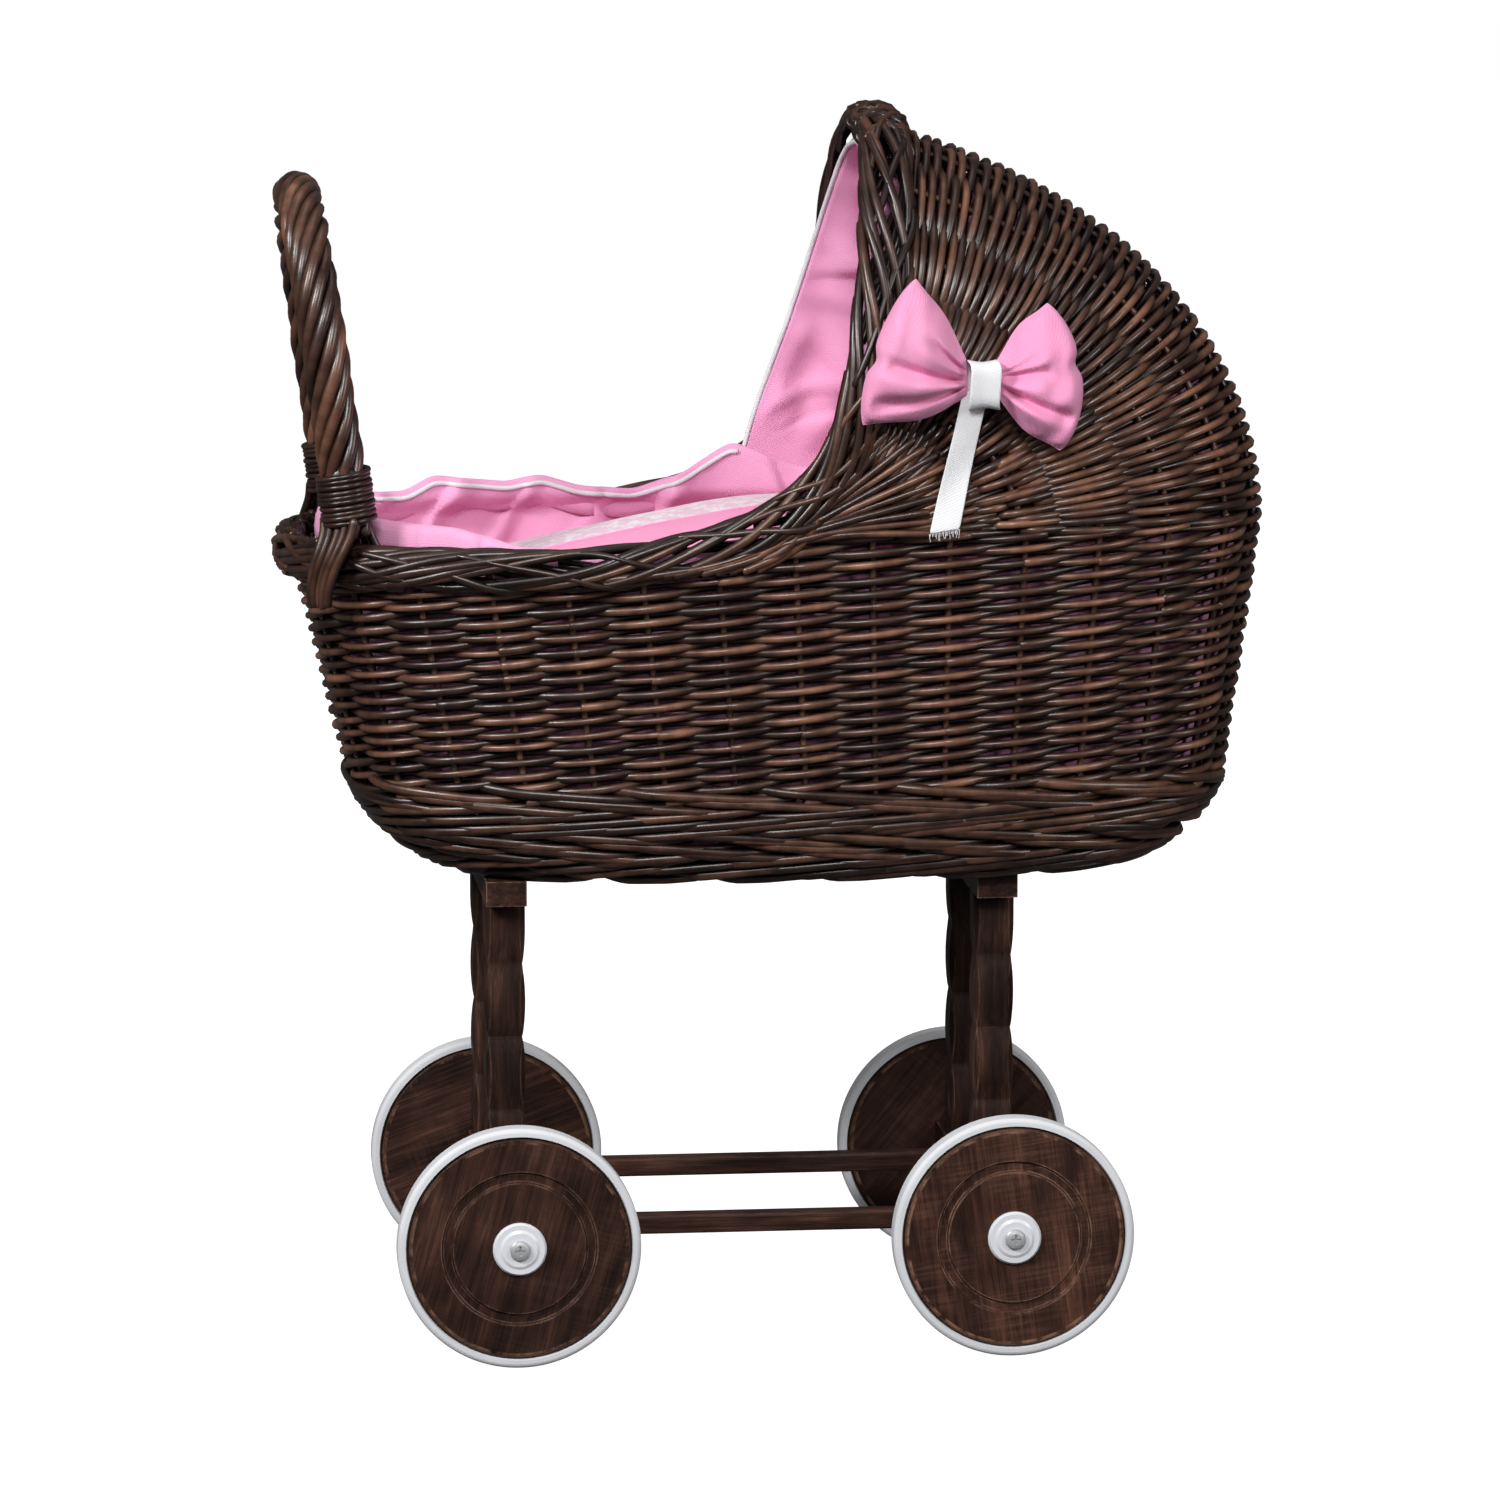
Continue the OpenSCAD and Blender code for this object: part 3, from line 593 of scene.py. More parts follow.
def side_weave():
    """Each rod starts at its own stake and climbs a row at every stake, before one and behind the next."""
    rods = Rods()
    rows = int((PIVOT_Z - WEAVE_FROM) / ROW) + 2
    for first in range(STAKES):
        t = np.arange(0, rows * STEP + 1) / STEP
        s = first + t
        z = WEAVE_FROM + ROW * t
        for shown in rod_runs(z < wall_top(s) + 0.001):
            tt, ss, zz = t[shown], s[shown], z[shown]
            waver = 0.0004 * np.sin(tt * 1.3 + rng.random() * 6) + rng.normal(0, 0.00025)
            swing = np.cos(np.pi * tt)
            share = np.linspace(0, 1, len(tt))
            radius = (2.42 - 0.62 * share + rng.normal(0, 0.08)) * MM
            at_head = smooth((around(ss)[0] - 0.75) / 0.2)
            radius *= 1 + 0.03 * np.sin(tt * 2.7 + rng.random() * 6) + 0.09 * at_head
            path = off_surface(wall, ss, zz + waver, MID + SWING * power(swing, 0.8))
            rods.add(path, radius, surface_normal(wall, ss, zz), wear=smooth(0.5 + 0.5 * swing) ** 1.4)
    return rods.build("side_weave", WILLOW)


def base_rows():
    """Heavier rods over the rounded lower edge, slanting up in some bands and down in the others."""
    rods = Rods()
    rows, climb = 15, 0.0065
    lowest, span = BASKET_Z + 0.0026, WEAVE_FROM - BASKET_Z + 0.0006
    for row in range(rows):
        z0 = lowest + span * row / (rows - 1)
        slant = climb if row % 8 < 4 else -climb
        for k in range(STAKES // 2 + 1):
            t = np.arange(0, 2 * STEP + 4) / STEP
            s = 2 * k + (row * 1.37) % 2 + t * 1.12 + rng.normal(0, 0.06)
            share = t / t[-1]
            z = z0 + slant * (share - 0.5) + rng.normal(0, 0.0006)
            z = np.maximum(z, BASKET_Z + 0.0018)
            swing = 1 - 2 * smooth(np.abs(share - 0.5) * 2.3 - 0.50)
            out = MID + 0.0008 + (SWING + 0.0008) * swing
            radius = (2.85 - 0.6 * share + rng.normal(0, 0.14)) * MM
            rods.weave(wall, s, z, out, radius, 0.45 * smooth(0.5 + 0.5 * swing))
    s = np.linspace(0, STAKES, 400)
    for height, out in ((0.0024, -0.0034), (0.0036, -0.0085)):
        rods.weave(wall, s, np.full(len(s), BASKET_Z + height), out, 2.7 * MM, 0.4)
    return rods.build("base_rows", WILLOW)


def stakes():
    """Upright rods from the base to the rim, and on over the hood."""
    rods = Rods()
    for s in range(STAKES):
        courses = [(wall, np.linspace(BASKET_Z + 0.004, float(wall_top(s)) + 0.004, 30))]
        if around(s)[0] > 0.1:
            courses.append((hood, np.linspace(-0.5, float(woven_angle(s, 0.012)), 44)))
        for surface, steps in courses:
            tone = 0.25 + 0.5 * rng.random()
            rods.weave(surface, np.full(len(steps), float(s)), steps, MID, STAKE_R, 0.7, tone)
    return rods.build("stakes", WILLOW)


def base_weave():
    """Flat woven bottom: cross rods over and under long sticks."""
    rods = Rods()
    low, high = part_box("basket_base")
    z0 = BASKET_Z + 0.0032
    down = np.array([0, 0, -1.0])

    def half_span(along, half_a, half_b):
        """Half of the oval bottom's width at a place along its other axis."""
        return half_b * max(0.0, 1 - abs(along / half_a) ** PLAN_N) ** (1 / PLAN_N)

    mid_x, half_x, half_y = (low.x + high.x) / 2, (high.x - low.x) / 2, high.y
    sticks, filled, pitch = 8, 0.94, 0.0052
    for k in range(sticks):
        y = half_y * (k - (sticks - 1) / 2) / (sticks / 2) * filled
        reach = half_span(y, half_y, half_x) - 0.004
        x = np.linspace(mid_x - reach, mid_x + reach, 12)
        path = np.stack([x, 0 * x + y, 0 * x + z0], -1)
        rods.add(path, 2.4 * MM, down, wear=0.4)
    rows = int(2 * half_x / pitch)
    gap = half_y * filled / (sticks / 2)
    for k in range(rows):
        x = mid_x - half_x + (k + 0.5) * 2 * half_x / rows
        reach = half_span(x - mid_x, half_x, half_y) - 0.007
        y = np.linspace(-reach, reach, 50)
        wave = np.cos(np.pi * (y / gap + 0.5 + k))
        path = np.stack([0 * y + x, y, z0 + 0.0012 - 0.0022 * wave], -1)
        rods.add(path, 2.3 * MM, down, wear=smooth(wave) * 0.6, sides=6)
    return rods.build("base_weave", WILLOW)


# ---------------------------------------------------------------- hood weave
HOOD_ROWS = 78
INNER = (0.010, 0.098, 0.052, 0.098, 0.027, 0.098, 0.052, 0.098)    # how near the pivot each of 8 rows ends


def hood_weave():
    """Rods fan out from the pivot, from the level row at the head end up to the front border.

    Nearer the pivot fewer rows go on: every second, fourth and eighth, and those that do still alternate."""
    rods = Rods()
    starts = [INNER[row % 8] * rng.uniform(0.82, 1.30) + 0.004 * rng.random() for row in range(HOOD_ROWS)]
    for row in range(HOOD_ROWS):
        s = np.linspace(0, STAKES / 2, 16 * STEP + 1)
        th = (row + 0.7) / HOOD_ROWS * woven_angle(s, 0.016)
        ex = around(s)[0]
        r = crest(th) * np.maximum(ex, 0) ** (3 / arch_n(th))
        start, beside = starts[row], starts[row ^ 1]
        # Less rubbed paleness and painted highlight on rows nearer the front border: painted shade over the
        # hood's top.
        fade = 0.95 - 0.45 * row / HOOD_ROWS
        keep = r > start
        s, th, r = s[keep], th[keep], r[keep]
        beat = np.cos(np.pi * (s + row))
        for level, limit in ((1, beside), (2, INNER[2]), (3, INNER[4])):
            other = np.cos(np.pi * (s + (row >> level)))
            beat = beat + (other - beat) * smooth((limit + 0.006 - r) / 0.012)
        tight = smooth((0.040 - r) / 0.02)
        out = MID + SWING * power(beat, 0.8) + 0.0012 * tight
        out = np.maximum(out - 0.0042 * (1 - smooth((r - start) / 0.012)), DEEPEST)
        th = th + 0.20 * np.sin(s * 0.9 + rng.random() * 6) * smooth(r / 0.1)
        radius = (1.87 + 0.36 * smooth((r - 0.03) / 0.10) + rng.normal(0, 0.12)) * MM
        radius = radius * (1 - 0.25 * smooth((0.03 - r) / 0.02))
        rods.weave(hood, s, th, out, radius, fade * smooth(0.5 + 0.5 * beat) ** 1.4)
    return rods.build("hood_weave", WILLOW)


def feeders():
    """Rods that leave the rim's border and run up into the hood's lowest rows, round the pivot."""
    rods = Rods()
    for side in (-1, 1):
        for k in range(13):
            th = math.radians(1.5 + 4.6 * k)    # row angle at which the rod joins the hood
            reach = 0.070 + 0.020 * rng.random()
            points = [(-0.100 + 0.007 * k, 0.404 + 0.0004 * k), (-0.050 + 0.0045 * k, 0.409 + 0.0009 * k),
                      (-0.012 + 0.0022 * k, 0.4185 + 0.0014 * k),
                      (0.026 * math.cos(th), PIVOT_Z + 0.026 * math.sin(th) + 0.0012),
                      (reach * math.cos(th), PIVOT_Z + reach * math.sin(th))]
            x, z = spline(points, 34).T
            reach_x = np.where(x < 0.0028, FOOT_L, HEAD_L)
            flat_y = HALF_W * (1 - np.abs(x / reach_x) ** PLAN_N) ** (1 / PLAN_N)
            over = hood_side(np.maximum(x, 0.001), np.maximum(z, PIVOT_Z))
            y = flat_y + (over - flat_y) * smooth((z - PIVOT_Z) / 0.006) * smooth(x / 0.02)
            out = 0.0002 + 0.0012 * np.sin(np.linspace(0, 9, len(x)) + 2.4 * k)
            path = np.stack([x, side * (y + out), z], -1)
            radius = (2.25 - 0.35 * np.linspace(0, 1, len(x))) * MM
            rods.add(path, radius, np.array([0.0, side, 0.0]), wear=0.8)
    return rods.build("rim_feeders", WILLOW)


# ---------------------------------------------------------------- borders
def border_line():
    """The border's middle line, down one side from the crest, round the foot and up, and its fullness."""
    def bezier(p, t):
        t = t[:, None]
        return (1 - t) ** 3 * p[0] + 3 * t * (1 - t) ** 2 * p[1] + 3 * t * t * (1 - t) * p[2] + t ** 3 * p[3]

    def arch(ph):
        r = CREST_R * np.sin(ph) ** (2 / ARCH_N_FRONT)
        th = np.radians(FRONT_ANGLE - EDGE_TURN * (1 - np.sin(ph)) ** 1.5)
        y = -HALF_W * power(np.cos(ph), 2 / ARCH_N_FRONT)
        z = PIVOT_Z + r * np.sin(th)
        return np.stack([r * np.cos(th) + lean(y, z, 1.0), y, z], -1)

    lowest = 12.0                       # place on the arch, in degrees, where the sweep takes over
    ph = np.radians(np.linspace(90, lowest, 60))
    over = arch(ph)
    size_over = smooth((10 + (np.degrees(ph) - lowest) / 6.5) / 16)
    a = np.linspace(0, STAKES, 4001)
    rim = wall(a, np.full(len(a), RIM_Z), 0.0015)
    rim[:, 2] = BORDER_MID_Z
    rim = rim[rim[:, 0] < SWEEP_X]
    rim = rim[np.argsort(np.arctan2(rim[:, 1], -rim[:, 0]))]
    near = rim[0]
    t = np.linspace(1, 0, 40)[1:]
    sweep = bezier([near, np.array([-0.040, near[1], 0.415]),
                    np.array([over[-1][0] - 0.010, near[1], PIVOT_Z + 0.005]), over[-1]], t)
    size_sweep = smooth(10 * t / 16)
    mirror = np.array([1, -1, 1.0])
    line = np.concatenate([over, sweep, rim[1:-1], (sweep * mirror)[::-1], (over * mirror)[::-1][:-1]])
    size = np.concatenate([size_over, size_sweep, np.zeros(len(rim) - 2), size_sweep[::-1],
                           size_over[::-1][:-1]])
    return line, size


def borders():
    """Long rods laid along the border's line, each rolling slowly over it from the outside to the inside."""
    line, size = border_line()
    line = np.concatenate([line, line[:1]])
    size = np.concatenate([size, size[:1]])
    at, line, size = resample(line, 0.004, size)
    line = averaged(np.concatenate([line[-5:-1], line, line[1:5]]), 9)
    total = at[-1]
    centre = np.array([0, 0, BORDER_MID_Z - 0.005])
    tangent = unit(np.gradient(np.concatenate([line[-4:-1], line, line[1:4]]), axis=0))[3:-3]
    d = line - centre
    out = unit(d - tangent * (d * tangent).sum(-1, keepdims=True))
    across = unit(np.cross(tangent, out))
    half_out = 0.0080 + 0.0020 * size
    half_across = 0.0110 + 0.0035 * size
    rods = Rods()

    def lay(start, length, roll_from, roll_to, lift, thick, wave=0.07):
        """One rod from a place on the line, rolling from one angle to another, thick in millimetres."""
        q = np.linspace(0, length, max(12, int(length / 0.0050)))
        where = np.mod(start + q, total)
        share = q / length

        def pick(values):
            if values.ndim == 1:
                return np.interp(where, at, values)
            return np.stack([np.interp(where, at, values[:, j]) for j in range(3)], -1)

        roll = roll_from + (roll_to - roll_from) * share + 10 * np.sin(share * 9 + rng.random() * 6)
        angle = np.radians(roll + rng.normal(0, 7))
        grow = lift + wave * np.sin(share * 14 + rng.random() * 6)
        o, c, p = pick(out), pick(across), pick(line)
        reach_out = (pick(half_out) - 0.0026) * grow
        reach_across = (pick(half_across) - 0.0024) * grow
        path = p + o * (reach_out * np.cos(angle))[:, None] - c * (reach_across * np.sin(angle))[:, None]
        face = unit(o * np.cos(angle)[:, None] - c * np.sin(angle)[:, None])
        radius = (thick + rng.normal(0, 0.15)) * MM * (1 - 0.25 * share)
        rods.add(path, radius, face, wear=0.36 * smooth(np.cos(angle) * 0.5 + 0.65))

    # Long rods all the way round.
    every = 0.0200
    count = round(total / every)
    for k in range(count):
        lay(k * total / count, 0.240 * (1 + rng.normal(0, 0.08)), -120, 200, lift=1.0, thick=2.75)
    # Shorter ones over them, which roll the other way.
    every = 0.046
    count = round(total / every)
    for k in range(count):
        length = 0.130 * (1 + rng.normal(0, 0.12))
        lay((k + 0.4) * total / count, length, 170, -60, lift=1.10, thick=2.45, wave=0.14)
    # Short ones wound over the crest.
    for k in range(15):
        turn = rng.uniform(0, 360)
        length = 0.024 + 0.010 * rng.random()
        lay(-0.030 + 0.0040 * k, length, turn, turn + 210 * (-1) ** k, lift=1.12, thick=2.3, wave=0.10)
    # Short ones, crossed, at the foot end.
    foot_at = total / 2
    for k in range(22):
        turn = 70 + 180 * (k % 2)
        start = foot_at - 0.115 + 0.0105 * k
        lay(start, 0.042, turn, turn + 190 * (-1) ** k, lift=1.14, thick=2.5, wave=0.08)
    return rods.build("border", WILLOW)


# ---------------------------------------------------------------- camera, light and floor
def camera():
    """The camera as fitted to the photograph."""
    azimuth, elevation = math.radians(-6.023), math.radians(8.837)
    target = Vector((-0.00815, 0, 0.29864))
    distance = 3.851
    back = Vector((math.sin(azimuth) * math.cos(elevation), -math.cos(azimuth) * math.cos(elevation),
                   math.sin(elevation)))
    data = bpy.data.cameras.new("camera")
    data.lens = 176.35
    data.sensor_width = 36.0
    obj = bpy.data.objects.new("camera", data)
    bpy.context.scene.collection.objects.link(obj)
    obj.location = target + back * distance
    obj.rotation_mode = "QUATERNION"
    obj.rotation_quaternion = (-back).to_track_quat("-Z", "Y")
    data.clip_start, data.clip_end = 0.1, 50
    bpy.context.scene.camera = obj


def area_light(name, place, size, power_w):
    """A soft box that faces the pram."""
    data = bpy.data.lights.new(name, "AREA")
    data.shape = "RECTANGLE"
    data.size, data.size_y = size
    data.energy = power_w
    obj = bpy.data.objects.new(name, data)
    bpy.context.scene.collection.objects.link(obj)
    obj.location = place
    obj.rotation_mode = "QUATERNION"
    obj.rotation_quaternion = (Vector((0, 0, 0.35)) - Vector(place)).to_track_quat("-Z", "Y")
    return obj


def studio():
    """Soft boxes in front, the strongest on the left, others above and behind, and a white surround."""
    area_light("key", (-2.5, -1.8, 2.4), (0.9, 0.9), 98)
    area_light("front", (-0.5, -2.9, 2.4), (1.0, 0.8), 66)
    area_light("fill", (2.1, -1.9, 1.4), (0.8, 1.2), 28)
    area_light("top", (0.1, 0.1, 2.6), (1.6, 1.4), 6)
    area_light("back", (0.4, 2.5, 1.6), (2.0, 1.6), 30).visible_glossy = False
    world = bpy.data.worlds.new("studio")
    bpy.context.scene.world = world
    world.use_nodes = True
    tree = world.node_tree
    tree.nodes["Background"].inputs["Color"].default_value = (1, 1, 1, 1)
    seen = tree.nodes.new("ShaderNodeLightPath")
    level = tree.nodes.new("ShaderNodeMapRange")
    level.inputs["To Min"].default_value = 0.08
    level.inputs["To Max"].default_value = 1.0
    tree.links.new(seen.outputs["Is Camera Ray"], level.inputs["Value"])
    tree.links.new(level.outputs["Result"], tree.nodes["Background"].inputs["Strength"])
    bpy.ops.mesh.primitive_plane_add(size=40, location=(0, 0, 0))
    floor = bpy.context.object
    floor.name = "floor"
    floor.visible_diffuse = floor.visible_glossy = False
    m = Nodes("floor_paper")
    paper = m.noise(m.coords(), 40.0, 3.0)
    m.set(Base_Color=m.ramp(paper, [(0.3, (0.29, 0.29, 0.29)), (0.7, (0.31, 0.31, 0.31))]), Roughness=0.85,
          Specular_IOR_Level=0.0, Emission_Color=(1, 1, 1, 1), Emission_Strength=0.975)
    floor.data.materials.append(m.material)
    bpy.context.scene.view_settings.view_transform = "Standard"


# ---------------------------------------------------------------- handle
ROPE_R = 0.0115
HANDLE_Y = 0.075            # the handle's feet are this far from the middle
HANDLE_FOOT_Z = 0.427       # heights of the handle's feet, where its arch begins, and its top
ARCH_Z = 0.505
HANDLE_Z = 0.592
HANDLE_LEAN = 0.0225        # how far the top leans towards the foot end


def handle_foot_x():
    """Where the rim's border is, along x, over the handle's feet."""
    reach = (1 - (HANDLE_Y / HALF_W) ** PLAN_N) ** (1 / PLAN_N)
    s_foot, s_head = STAKES * 0.75, STAKES * 0.25
    foot, head = -float(wall(s_foot, RIM_Z)[0]), float(wall(s_head, RIM_Z)[0])
    return (head - foot) / 2 - (head + foot) / 2 * reach + 0.005


FOOT_X = handle_foot_x()
HANDLE_TILT = math.atan(HANDLE_LEAN / (HANDLE_Z - HANDLE_FOOT_Z))


def handle_at(y, z):
    """A point of the leaning plane that the handle lies in."""
    x = FOOT_X - HANDLE_LEAN * (z - HANDLE_FOOT_Z) / (HANDLE_Z - HANDLE_FOOT_Z)
    return np.stack([x, y + 0 * x, z + 0 * x], -1)


def handle_line():
    """The rope's middle: up one side, over the arch and down the other side."""
    up = np.linspace(HANDLE_FOOT_Z - 0.002, ARCH_Z, 30)[:-1]
    a = np.radians(np.linspace(0, 180, 91))
    bend = 2 / 2.3
    over = handle_at(-HANDLE_Y * power(np.cos(a), bend), ARCH_Z + (HANDLE_Z - ARCH_Z) * np.sin(a) ** bend)
    return np.concatenate([handle_at(-HANDLE_Y, up), over, handle_at(HANDLE_Y, up[::-1])])


def handle_rope():
    """Eight rods twisted round a core and bent into an arch."""
    rods = Rods()
    at, line = resample(handle_line(), 0.0035)
    line = np.concatenate([line[:3], averaged(line, 7), line[-3:]])
    tangent = unit(np.gradient(line, axis=0))
    plane = unit(np.array([math.cos(HANDLE_TILT), 0, math.sin(HANDLE_TILT)]))
    side = unit(np.cross(tangent, plane))
    strands, pitch, core_r = 8, 0.118, 0.0066
    rods.add(line, core_r, side, tone=0.1, wear=0.0)
    near_end = np.minimum(at, at[-1] - at)
    squeeze = 1 - 0.07 * smooth((0.04 - near_end) / 0.012)
    for k in range(strands):
        angle = 2 * np.pi * (k / strands + at / pitch) + 0.12 * np.sin(at * 40 + k)
        face = plane * np.cos(angle)[:, None] + side * np.sin(angle)[:, None]
        strand_r = (3.25 + rng.normal(0, 0.12)) * MM
        reach = (ROPE_R - strand_r + 0.0006 + rng.normal(0, 0.0002)) * squeeze
        rods.add(line + face * reach[:, None], strand_r, face, sides=10, wear=0.75)
    return rods.build("handle_rope_strands", WILLOW)


def handle_binding(name, side):
    """Cane wound tightly round the rope's foot, over rods that splay across the border."""
    rods = Rods()
    foot = handle_at(side * HANDLE_Y, np.array(HANDLE_FOOT_Z))
    axis = np.array([-math.sin(HANDLE_TILT), 0, math.cos(HANDLE_TILT)])
    u = np.array([math.cos(HANDLE_TILT), 0, math.sin(HANDLE_TILT)])
    v = np.cross(axis, u)
    turns = 10
    t = np.linspace(0, turns, turns * 28 + 1)
    angle = 2 * np.pi * t + 1.2
    face = u * np.cos(angle)[:, None] + v * np.sin(angle)[:, None]
    height = 0.0035 + 0.0266 * t / turns + 0.0003 * np.sin(angle * 0.7)
    cane_r = 1.5 * MM
    reach = ROPE_R + cane_r + 0.0003 * np.sin(t * 2.1 + side)
    rods.add(foot + axis * height[:, None] + face * reach[:, None], cane_r, face, tone=0.15, wear=0.5)
    core = np.array([foot + axis * 0.004, foot + axis * 0.0295])
    rods.add(core, ROPE_R - 0.0004, u, tone=0.0, wear=0.0, sides=16)
    share = HANDLE_Y / HALF_W
    out = unit(np.array([-((1 - share ** PLAN_N) ** (2 / 3)) / FOOT_L, side * share ** 2 / HALF_W, 0]))
    along = np.array([abs(out[1]), side * abs(out[0]), 0])
    down = np.array([0, 0, -1.0])
    for i in range(5):
        spread, raised = (i - 2) * 0.0042, 0.0006 * (i % 2)
        steps = np.array([[0.0095, -0.006], [0.0115, 0.002], [0.0150, 0.012], [0.0160, 0.020],
                          [0.0156, 0.030], [0.0148, 0.037 + 0.002 * rng.random()]])
        shift = spread * (1.08 - 13 * steps[:, 1]) - 0.009 * smooth(steps[:, 1] / 0.036)
        path = foot + out * (steps[:, :1] + raised) + down * steps[:, 1:] + along * shift[:, None]
        radius = (2.3 + rng.normal(0, 0.1)) * MM
        rods.add(spline(path, 24), radius, out, tone=0.15 + 0.5 * rng.random(), wear=0.7)
    for i in range(4):
        way = unit(-out * (0.9 - 0.15 * i) + along * (i - 1.5) * 0.55 + np.array([0.35, 0, 0]))
        path = np.array([foot + way * 0.008 + down * -0.006, foot + way * 0.0105 + down * 0.003,
                         foot + way * 0.0145 + down * 0.012, foot + way * 0.0160 + down * 0.024])
        rods.add(spline(path, 16), 2.2 * MM, way, tone=0.2 + 0.4 * rng.random(), wear=0.6)
    return rods.build(name, WILLOW)


# ---------------------------------------------------------------- lining
LINER_INSET = 0.0125        # how far the lining lies inside the wall's outer face
LINER_TUCK = 0.009          # how much farther in it lies above the rim
CLOTH = 0.0014              # thickness of the quilted lining
PIPING_R = 1.35 * MM        # radius of the white cord
# The hem's course over the lining's top edge: outward and upward from it.
ROLL = ((0.0012, 0.0010), (0.0032, 0.0004), (0.0048, -0.0030), (0.0054, -0.0080), (0.0052, -0.0140))


def liner_rise(x, y):
    """Height of the lining's top edge: loose waves at the foot and the far side, lower on the near side."""
    at = np.array([-240, -204, -185, -164, -142, -121, -100, -67, -35, -7, 28, 60, 260]) * MM
    far = np.array([430, 427, 435, 432.5, 430, 433.5, 427, 424.5, 434.5, 449, 436, 431, 430]) * MM
    near = np.array([430, 427, 426, 421, 417, 415.5, 415, 415, 418, 430, 434, 431, 430]) * MM
    fine = np.linspace(at[0], at[-1], 400)
    kernel = np.hanning(15) / np.hanning(15).sum()
    levels = []
    for top in (near, far):
        level = np.convolve(np.pad(np.interp(fine, at, top), 7, "edge"), kernel, "valid")
        levels.append(np.interp(x, fine, level))
    return levels[0] + (levels[1] - levels[0]) * smooth(0.5 + y / 0.06)


def folds(s, v, seed, sharp=0.075):
    """Height of the lining's folds: soft puffs that fade downwards, and slanting pleats with a sharp side."""
    count = 24
    pick = np.random.default_rng(seed)
    total = np.zeros(np.broadcast(s, v).shape)

    def across(centre):
        return np.mod(s - centre + STAKES / 2, STAKES) - STAKES / 2

    for k in range(count):
        centre = (k + pick.uniform(-0.35, 0.35)) * STAKES / count
        reach = pick.uniform(0.5, 1.0)
        fade = smooth((v - 1 + reach) / reach * 1.8)
        d = across(centre + pick.uniform(-1.2, 1.2) * (1 - v))
        total += pick.uniform(0.25, 0.75) * np.exp(-(d / pick.uniform(0.40, 0.80)) ** 2) * fade
    for k in range(int(count * 1.5)):
        centre = (k + pick.uniform(-0.4, 0.4)) * STAKES / int(count * 1.5)
        reach, flip = pick.uniform(0.35, 0.95), pick.choice([-1, 1])
        fade = smooth((v - 1 + reach) / reach * 2.2)
        d = flip * across(centre + flip * pick.uniform(0.8, 4.5) * (1 - v) + 0.12 * np.sin(8 * v + k))
        width = pick.uniform(0.45, 1.1) * (0.6 + 0.6 * (1 - v))
        ramp = smooth(1 + d / width) * (d < 0) + np.exp(-(d / sharp) ** 2) * (d >= 0)
        total += pick.uniform(0.25, 0.70) * ramp * fade
    return total - 0.45


def liner_points(s, z, v):
    """The lining's face: against the wall below, leaning in over the rim, with folds."""
    inset = LINER_INSET * corner(z) + LINER_TUCK * smooth((z - 0.414) / 0.012)
    loose = (0.0018 + 0.0100 * folds(s, v, 11)) * smooth(v * 1.5) * (1 - 0.45 * smooth((v - 0.94) / 0.06))
    ripple = 0.0006 * np.sin(s * 5.1 + 8 * v) * smooth(v)
    at_head = smooth((around(s)[0] - 0.72) / 0.2)
    loose = loose * (1 - 0.8 * at_head)
    point = wall(s, z, inset + 0.0025 * (1 - at_head) - 0.0010 * at_head + ripple)
    inward = -surface_normal(wall, s, z)
    inward[..., 2] = 0
    return point + unit(inward) * np.clip(loose, -0.0022, 0.0125)[..., None]


def basket_lining():
    """The lining from the basket's floor up the wall, with a hem rolled over its edge."""
    cols, rows = 600, 70
    s = np.arange(cols) / cols * STAKES
    top = liner_rise(*wall(s, PIVOT_Z)[:, :2].T)
    v = (np.arange(rows + 1) / rows) ** 0.8
    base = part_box("basket_base")[1].z + 0.0016
    zz = base + v[:, None] * (top[None] - base)
    ss = np.broadcast_to(s, zz.shape)
    vv = np.broadcast_to(v[:, None], zz.shape)
    face = liner_points(ss, zz, vv)
    middle = np.array([face[0, :, 0].mean(), 0, 0])
    floor = [np.stack([middle[0] + (face[0, :, 0] - middle[0]) * f, face[0, :, 1] * f, face[0, :, 2]], -1)
             for f in (0.05, 0.4, 0.75)]
    over = face[-1] + (face[-1] - face[-2]) * 0.1
    outward = surface_normal(wall, s, top)
    roll = [over + outward * a + np.array([0, 0, b]) for a, b in ROLL]
    points = np.concatenate([np.array(floor), face, np.array(roll)])
    obj = grid_mesh("basket_lining", points, PINK_COTTON_PAINTED_LIGHT, close_u=True, thickness=CLOTH,
                    levels=0)
    return obj


def hood_lining():
    """The lining inside the hood, and the row of points along its front edge."""
    quarter = STAKES / 4
    cols, rows = 440, 84
    s = quarter + (quarter - 0.28) * power(np.linspace(-1, 1, cols), 0.9)
    last = woven_angle(s, -0.006)
    v = np.arange(rows + 1) / rows
    th = v[:, None] * last[None]
    ss = np.broadcast_to(s, th.shape)
    vv = np.broadcast_to(v[:, None], th.shape)
    ex = around(ss)[0]
    r = crest(th) * ex ** (3 / arch_n(th))
    loose = 0.0022 + 0.0050 * folds(ss * 1.3 + 3, vv, 23, sharp=0.30)
    loose = loose + 0.0030 * np.sin(ss * 1.4 + 13 * vv + 1.2 * np.sin(vv * 5 + ss * 0.7))
    loose = loose + 0.0013 * np.sin(ss * 3.1 - 11 * vv + 1.4 * np.sin(ss * 1.3))
    loose = loose * smooth((r - 0.03) / 0.05) * (1 - 0.75 * smooth((vv - 0.90) / 0.10))
    point = hood(ss, th, 0.0135)
    inward = -surface_normal(hood, ss, th)
    points = point + inward * np.clip(loose, -0.0018, 0.011)[..., None]
    obj = grid_mesh("hood_lining", points, PINK_COTTON_PAINTED_LIGHT, thickness=CLOTH, levels=0)
    return obj, points[-1]


